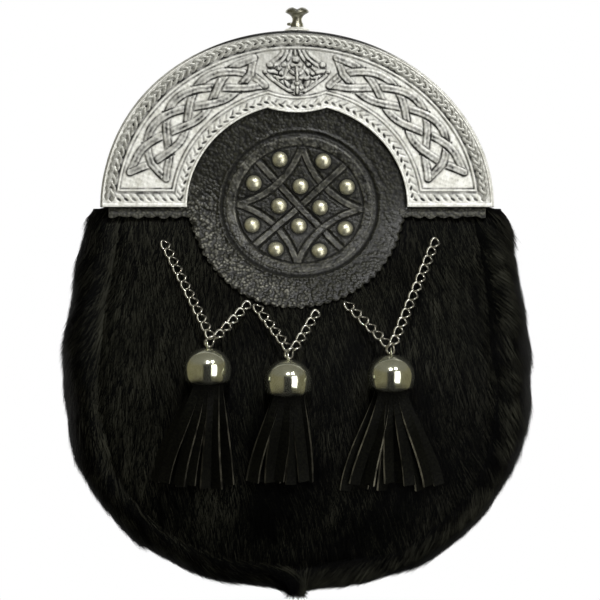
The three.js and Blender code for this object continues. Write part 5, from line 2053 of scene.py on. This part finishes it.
    def add_strips(self, finishes: Finishes) -> Object:
        """Cuts the strips: dark faces, raw edges and square feet."""
        rng = np.random.default_rng(self.place.seed)
        corners = np.array([(-1.0, -1.0), (1.0, -1.0), (1.0, 1.0), (-1.0, 1.0)])
        strips: list[tuple[Array, list[list[int]]]] = []
        edges: list[int] = []
        for order in range(self.strips):
            line, width, twist = self.strip_path(order, rng)
            along = unit(np.gradient(line, axis=0))
            level = unit(np.cross(along, -TO_BACK))
            forward = np.cross(level, along)
            across = level * np.cos(twist)[:, None] + forward * np.sin(twist)[:, None]
            table = joined(corners[:, 0] * width[:, None], corners[:, 1] * self.strip_thick / 2.0)
            strips.append(sweep(line, across, unit(np.cross(along, across)), table))
            edges += [0, 1, 0, 1] * (len(line) - 1) + [1, 1]
        name = f"tassel_strips_{self.place.side}"
        piece = add_piece(name, *merged(strips), finishes.strip, even=False)
        piece.data.materials.append(finishes.pale_cut if self.place.pale else finishes.cut)
        piece.data.polygons.foreach_set("material_index", edges)
        return mend(piece)

    def build(self, finishes: Finishes) -> None:
        """Builds the chain, the bell and the strips."""
        side = self.place.side
        seat(self.add_chain(finishes.wire), Slot.CHAIN, f"chain_{side}")
        seat(self.add_bell(finishes.chrome), Slot.BELL, f"bell_{side}")
        seat(self.add_eye(finishes.chrome), Slot.BELL)
        seat(self.add_strips(finishes), Slot.STRIP, f"tassel_{side}")


def pressed_hair(x: Array, z: Array) -> Array:
    """A factor on the hair's length: shorter where the tassels lie on it."""
    factor = np.ones(np.broadcast(x, z).shape)
    bell_half = 7.0
    for place in TASSELS:
        drop = np.clip((place.top - z) / (place.top - place.foot), 0.0, 1.0)
        left = part_way(place.x - bell_half, place.fan[0], drop)
        right = part_way(place.x + bell_half, place.fan[1], drop)
        inside = np.clip((x - left + 3.0) / 4.0, 0.0, 1.0) * np.clip((right + 3.0 - x) / 4.0, 0.0, 1.0)
        lying, below = (smooth(-z, -level - 4.0, -level + 2.0) for level in (place.top, place.foot))
        factor = factor - 0.42 * inside * (lying * (1.0 - below))
    return factor


# The back


@dataclass
class Back:
    """The plain back panel and the two loops for the strap, sewn with waxed thread."""

    form: PouchForm
    arch_half: float = 79.4
    arch_rise: float = 71.4
    share: float = 0.86
    thickness: float = 2.5
    stitch_inset: float = 4.2
    stitch_pitch: float = 4.6
    stitch_length: float = 3.3
    loop_x: float = 46.0
    loop_width: float = 16.0
    loop_reach: float = 24.0
    loop_foot: float = 6.0
    loop_ramp: float = 5.0
    loop_gap: float = 6.0
    loop_thick: float = 2.2
    seat_gap: float = 0.3
    middle: tuple[float, float] = (0.0, -40.0)
    ease: float = 0.45
    thread_radius: float = 0.38

    def outline(self) -> Array:
        """The panel's edge as rows of x and z, once round."""
        arch = ellipse(self.arch_half, self.arch_rise, angles(0.0, 180.0, 121))
        share = np.linspace(-1.0, 1.0, 161)
        seam, edge = (self.form.point(line, share) for line in (self.form.seam, self.form.edge))
        return np.concatenate([arch, part_way(seam, edge, self.share)])

    def inset_line(self, inset: float, line: Array) -> Array:
        """A line drawn in towards the panel's middle."""
        away = line - np.array(self.middle)
        reach = np.hypot(away[:, 0], away[:, 1])[:, None]
        return np.array(self.middle) + away * (1.0 - inset / reach)

    def add_panel(self, leather: Material) -> Object:
        """Builds the panel with rounded, burnished edges."""
        line = self.outline()
        deep, middle = self.thickness, np.array(self.middle)
        rounds = [(1.3, 0.0), (0.6, -0.12), (0.15, -0.6), (0.0, -deep / 2.0)]
        rounds += [(inset, -deep - y) for inset, y in rounds[2::-1]]
        rings = [(part_way(middle, line, part), 0.0) for part in (0.3, 0.6, 0.85)]
        rings += [(self.inset_line(inset, line), y) for inset, y in rounds]
        rings += [(part_way(middle, line, part), -deep) for part in (0.6, 0.3)]
        rows = [joined(ring[:, 0], y, ring[:, 1]) for ring, y in rings]
        ends = [[(middle[0], y, middle[1])] for y in (0.0, -deep)]
        points = np.concatenate([*rows, *ends])
        count, last = len(line), len(points) - 1
        ring = np.arange(count)
        faces = grid_faces(len(rows), count, wrap=True).tolist()
        faces += cap(last - 1, ring) + cap(last, (len(rows) - 1) * count + ring[::-1])
        return mend(add_piece("back_leather_panel", points, faces, leather))

    def loop_path(self) -> Array:
        """The loop's outer line from its lower to its upper end, as rows of y and z."""
        bend = self.loop_reach - self.loop_foot
        low = self.seat_gap + self.loop_thick
        high = self.seat_gap + self.loop_gap + self.loop_thick
        half = np.array(
            [(low, self.loop_reach), (low, bend + 1.0), (high, bend - self.loop_ramp - 1.0), (high, 0.0)]
        )
        steps = np.linspace(0.0, 1.0, 13)[:-1, None]
        upper = np.concatenate([part_way(half[i], half[i + 1], steps) for i in range(3)])
        kernel = np.array([1.0, 2.0, 3.0, 2.0, 1.0]) / 9.0
        padded = np.concatenate([upper[:1].repeat(2, 0), upper, half[-1:].repeat(2, 0)])
        eased = joined(*(np.convolve(column, kernel, "valid") for column in padded.T))
        line = np.concatenate([eased, half[-1:]])
        line[0] = half[0]
        return np.concatenate([line, (line[:-1] * np.array([1.0, -1.0]))[::-1]])

    def add_loop(self, side: Side, leather: Material) -> Object:
        """Builds one loop as a bridge of leather with eased edges."""
        line = self.loop_path()
        centres = joined(side.value * self.loop_x, line[:, 0], line[:, 1])
        inward = np.cross(unit(np.gradient(centres, axis=0)), TO_RIGHT)
        inward = inward * np.sign(-inward[len(line) // 2, 1])
        half, thick, ease = self.loop_width / 2.0, self.loop_thick, self.ease
        section = np.array(
            [
                (0.0, half - ease), (ease * 0.3, half - ease * 0.3), (ease, half), (thick - ease, half),
                (thick, half - ease), (thick, ease - half), (thick - ease, -half), (ease, -half),
                (ease * 0.3, ease * 0.3 - half), (0.0, ease - half),
            ]
        )
        strap = sweep(centres, inward, TO_RIGHT, section)
        return mend(add_piece(f"strap_loop_{side.label}", *strap, leather))

    def add_stitch(self, thread: Material) -> Object:
        """One stitch along X: a short round thread that dips at both ends."""
        stations = np.linspace(-1.0, 1.0, 7)
        height = 0.22 - 0.42 * np.abs(stations) ** 3
        centres = joined(stations * (self.stitch_length / 2.0), 0.0, height)
        section = ellipse(self.thread_radius, self.thread_radius, circle(6))
        return mend(add_piece("stitch_pattern", *sweep(centres, TO_BACK, UPWARDS, section), thread))

    def stitch_lines(self) -> list[tuple[str, Array]]:
        """The sewn lines, each closed: round the panel's edge and across each loop's feet."""
        edge = self.inset_line(self.stitch_inset, self.outline())
        lines = [("panel_stitches", joined(edge[:, 0], 0.0, edge[:, 1]))]
        y = self.seat_gap + self.loop_thick
        half = self.loop_width / 2.0 - 2.0
        for side in Side:
            left, right = side.value * self.loop_x - half, side.value * self.loop_x + half
            for end, name in ((1.0, "upper"), (-1.0, "lower")):
                far = end * (self.loop_reach - 1.6)
                near = end * (self.loop_reach - self.loop_foot + 2.2)
                box = [(left, y, near), (left, y, far), (right, y, far), (right, y, near)]
                lines.append((f"loop_stitches_{side.label}_{name}", np.array(box)))
        return lines

    def build(self, finishes: Finishes) -> None:
        """Builds the panel, the loops and their stitches."""
        thread = finishes.thread
        seat(self.add_panel(finishes.plain), Slot.BACK, "back_panel")
        for side in Side:
            seat(self.add_loop(side, finishes.plain), Slot.BACK, f"belt_loop_{side.label}")
        pattern = self.add_stitch(thread)
        for name, points in self.stitch_lines():
            line = add_line(f"{name}_line", points, closed=True)
            seat(lay_row(name, pattern, line, self.stitch_pitch, (0.0, 1.0, 0.0), thread), Slot.BACK)
        remove(pattern)


# The studio


def seen_plain(tree: Tree, light: Socket, plain: Socket) -> Socket:
    """A shader that lights the scene with the first and shows the second to the camera."""
    seen = add_node(tree, "ShaderNodeLightPath").outputs["Is Camera Ray"]
    return add_node(tree, "ShaderNodeMixShader", {0: seen, 1: light, 2: plain}).outputs[0]


@dataclass(frozen=True)
class Softbox:
    """One lamp: degrees to the camera's right and above the horizon, size in metres and power in watts."""

    name: str
    azimuth: float
    elevation: float
    size: tuple[float, float]
    power: float


@dataclass
class Studio:
    """A white studio: camera straight on, a window on the right, lamps all round and a pale floor."""

    centre: tuple[float, float] = (1.2, -38.0)
    front: float = -22.0
    distance: float = 3000.0
    view_width: float = 244.8
    floor: float = -450.0
    floor_half: float = 3800.0
    lamp_reach: float = 0.9
    softboxes: tuple[Softbox, ...] = (
        Softbox("window", 33.0, 0.0, (0.42, 0.9), 4.6),
        Softbox("lamp_left", 1.0, 42.0, (0.09, 0.09), 2.9),
        Softbox("lamp_right", 31.0, 43.0, (0.09, 0.09), 2.9),
        Softbox("side_left", -128.0, 8.0, (0.25, 0.4), 0.9),
        Softbox("side_right", 128.0, 8.0, (0.25, 0.4), 0.9),
        Softbox("back", 180.0, 35.0, (1.0, 0.8), 2.0),
    )

    def add_camera(self) -> None:
        """Sets the camera at the photograph's angle and scale."""
        data = bpy.data.cameras.new("camera")
        data.sensor_width = 36.0
        data.lens = data.sensor_width * self.distance / self.view_width
        data.clip_end = 50.0
        camera = show("camera", data)
        camera.location = np.array([self.centre[0], self.front - self.distance, self.centre[1]]) * MM
        camera.rotation_euler = (math.radians(90.0), 0.0, 0.0)
        bpy.context.scene.camera = camera

    def add_light(self, box: Softbox) -> None:
        """Hangs one softbox round the sporran, facing it."""
        data = bpy.data.lights.new(box.name, "AREA")
        data.shape = "RECTANGLE"
        data.size, data.size_y = box.size
        data.energy = box.power
        light = show(box.name, data)
        a, e = math.radians(box.azimuth), math.radians(box.elevation)
        towards = np.array([math.sin(a) * math.cos(e), -math.cos(a) * math.cos(e), math.sin(e)])
        light.location = np.array([0.0, self.front, self.centre[1]]) * MM + towards * self.lamp_reach
        light.rotation_euler = (math.radians(90.0) - e, 0.0, a)

    def add_world(self) -> None:
        """White behind the sporran, and a dim room in front of it for the metal to mirror."""
        world = bpy.data.worlds.new("studio")
        bpy.context.scene.world = world
        world.use_nodes = True
        tree = world.node_tree
        tree.nodes.clear()
        way = add_node(tree, "ShaderNodeTexCoord").outputs["Generated"]
        x, y, z = add_node(tree, "ShaderNodeSeparateXYZ", {"Vector": way}).outputs
        level = between(tree, worked(tree, "ABSOLUTE", z), (0.4, 0.75), (1.0, 0.0))
        behind = product(tree, between(tree, y, (0.45, 0.85)), level)
        walls = blend(tree, between(tree, z, (-0.75, -0.35)), "#0c0b09", "#8a8569")
        lit = blend(tree, between(tree, z, (0.35, 0.6)), walls, "#8b897d")
        middle = between(tree, worked(tree, "ABSOLUTE", x), (0.26, 0.4), (1.0, 0.0))
        low = between(tree, z, (0.45, 0.62), (1.0, 0.0))
        room = blend(tree, product(tree, middle, low), lit, "#060504")
        light = blend(tree, behind, room, "#ffffff")
        glow = add_node(tree, "ShaderNodeBackground", {"Color": light, "Strength": 0.9})
        plain = add_node(tree, "ShaderNodeBackground", {"Color": linear("#ffffff"), "Strength": 1.0})
        mixed = seen_plain(tree, glow.outputs[0], plain.outputs[0])
        add_node(tree, "ShaderNodeOutputWorld", {"Surface": mixed})

    def add_floor(self) -> None:
        """Lays a pale floor below the hanging sporran, which the camera sees in one even tone."""
        ends = (-self.floor_half, self.floor_half)
        corners = np.array([(x, y, self.floor) for y in ends for x in ends])
        material, tree, shader = new_material("pale_floor_paint", Base_Color=linear("#eeeeec"), Roughness=0.8)
        even = add_node(tree, "ShaderNodeEmission", {"Color": linear("#ececea"), "Strength": 1.0})
        output = next(node for node in tree.nodes if node.type == "OUTPUT_MATERIAL")
        feed(tree, output, {"Surface": seen_plain(tree, shader.outputs[0], even.outputs[0])})
        floor = add_piece("floor", corners, [[0, 1, 3, 2]], material)
        floor.visible_glossy = False

    def build(self) -> None:
        """Sets up the camera, the lights, the world and the floor."""
        self.add_camera()
        self.add_world()
        for box in self.softboxes:
            self.add_light(box)
        self.add_floor()
        bpy.context.scene.view_settings.view_transform = "Standard"


def main() -> None:
    """Loads the frame, dresses it piece by piece and sets up the studio."""
    logging.basicConfig(level=logging.INFO, format="%(name)s %(message)s")
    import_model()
    finishes = Finishes()
    form = PouchForm()
    flap = Flap(form)
    HairyHide(form, flap.leaves_free, pressed_hair).build(finishes)
    flap.build(finishes)
    Cantle().build(finishes)
    for place in TASSELS:
        Tassel(form, flap, place).build(finishes)
    Back(form).build(finishes)
    Studio().build()


if __name__ == "__main__":
    main()
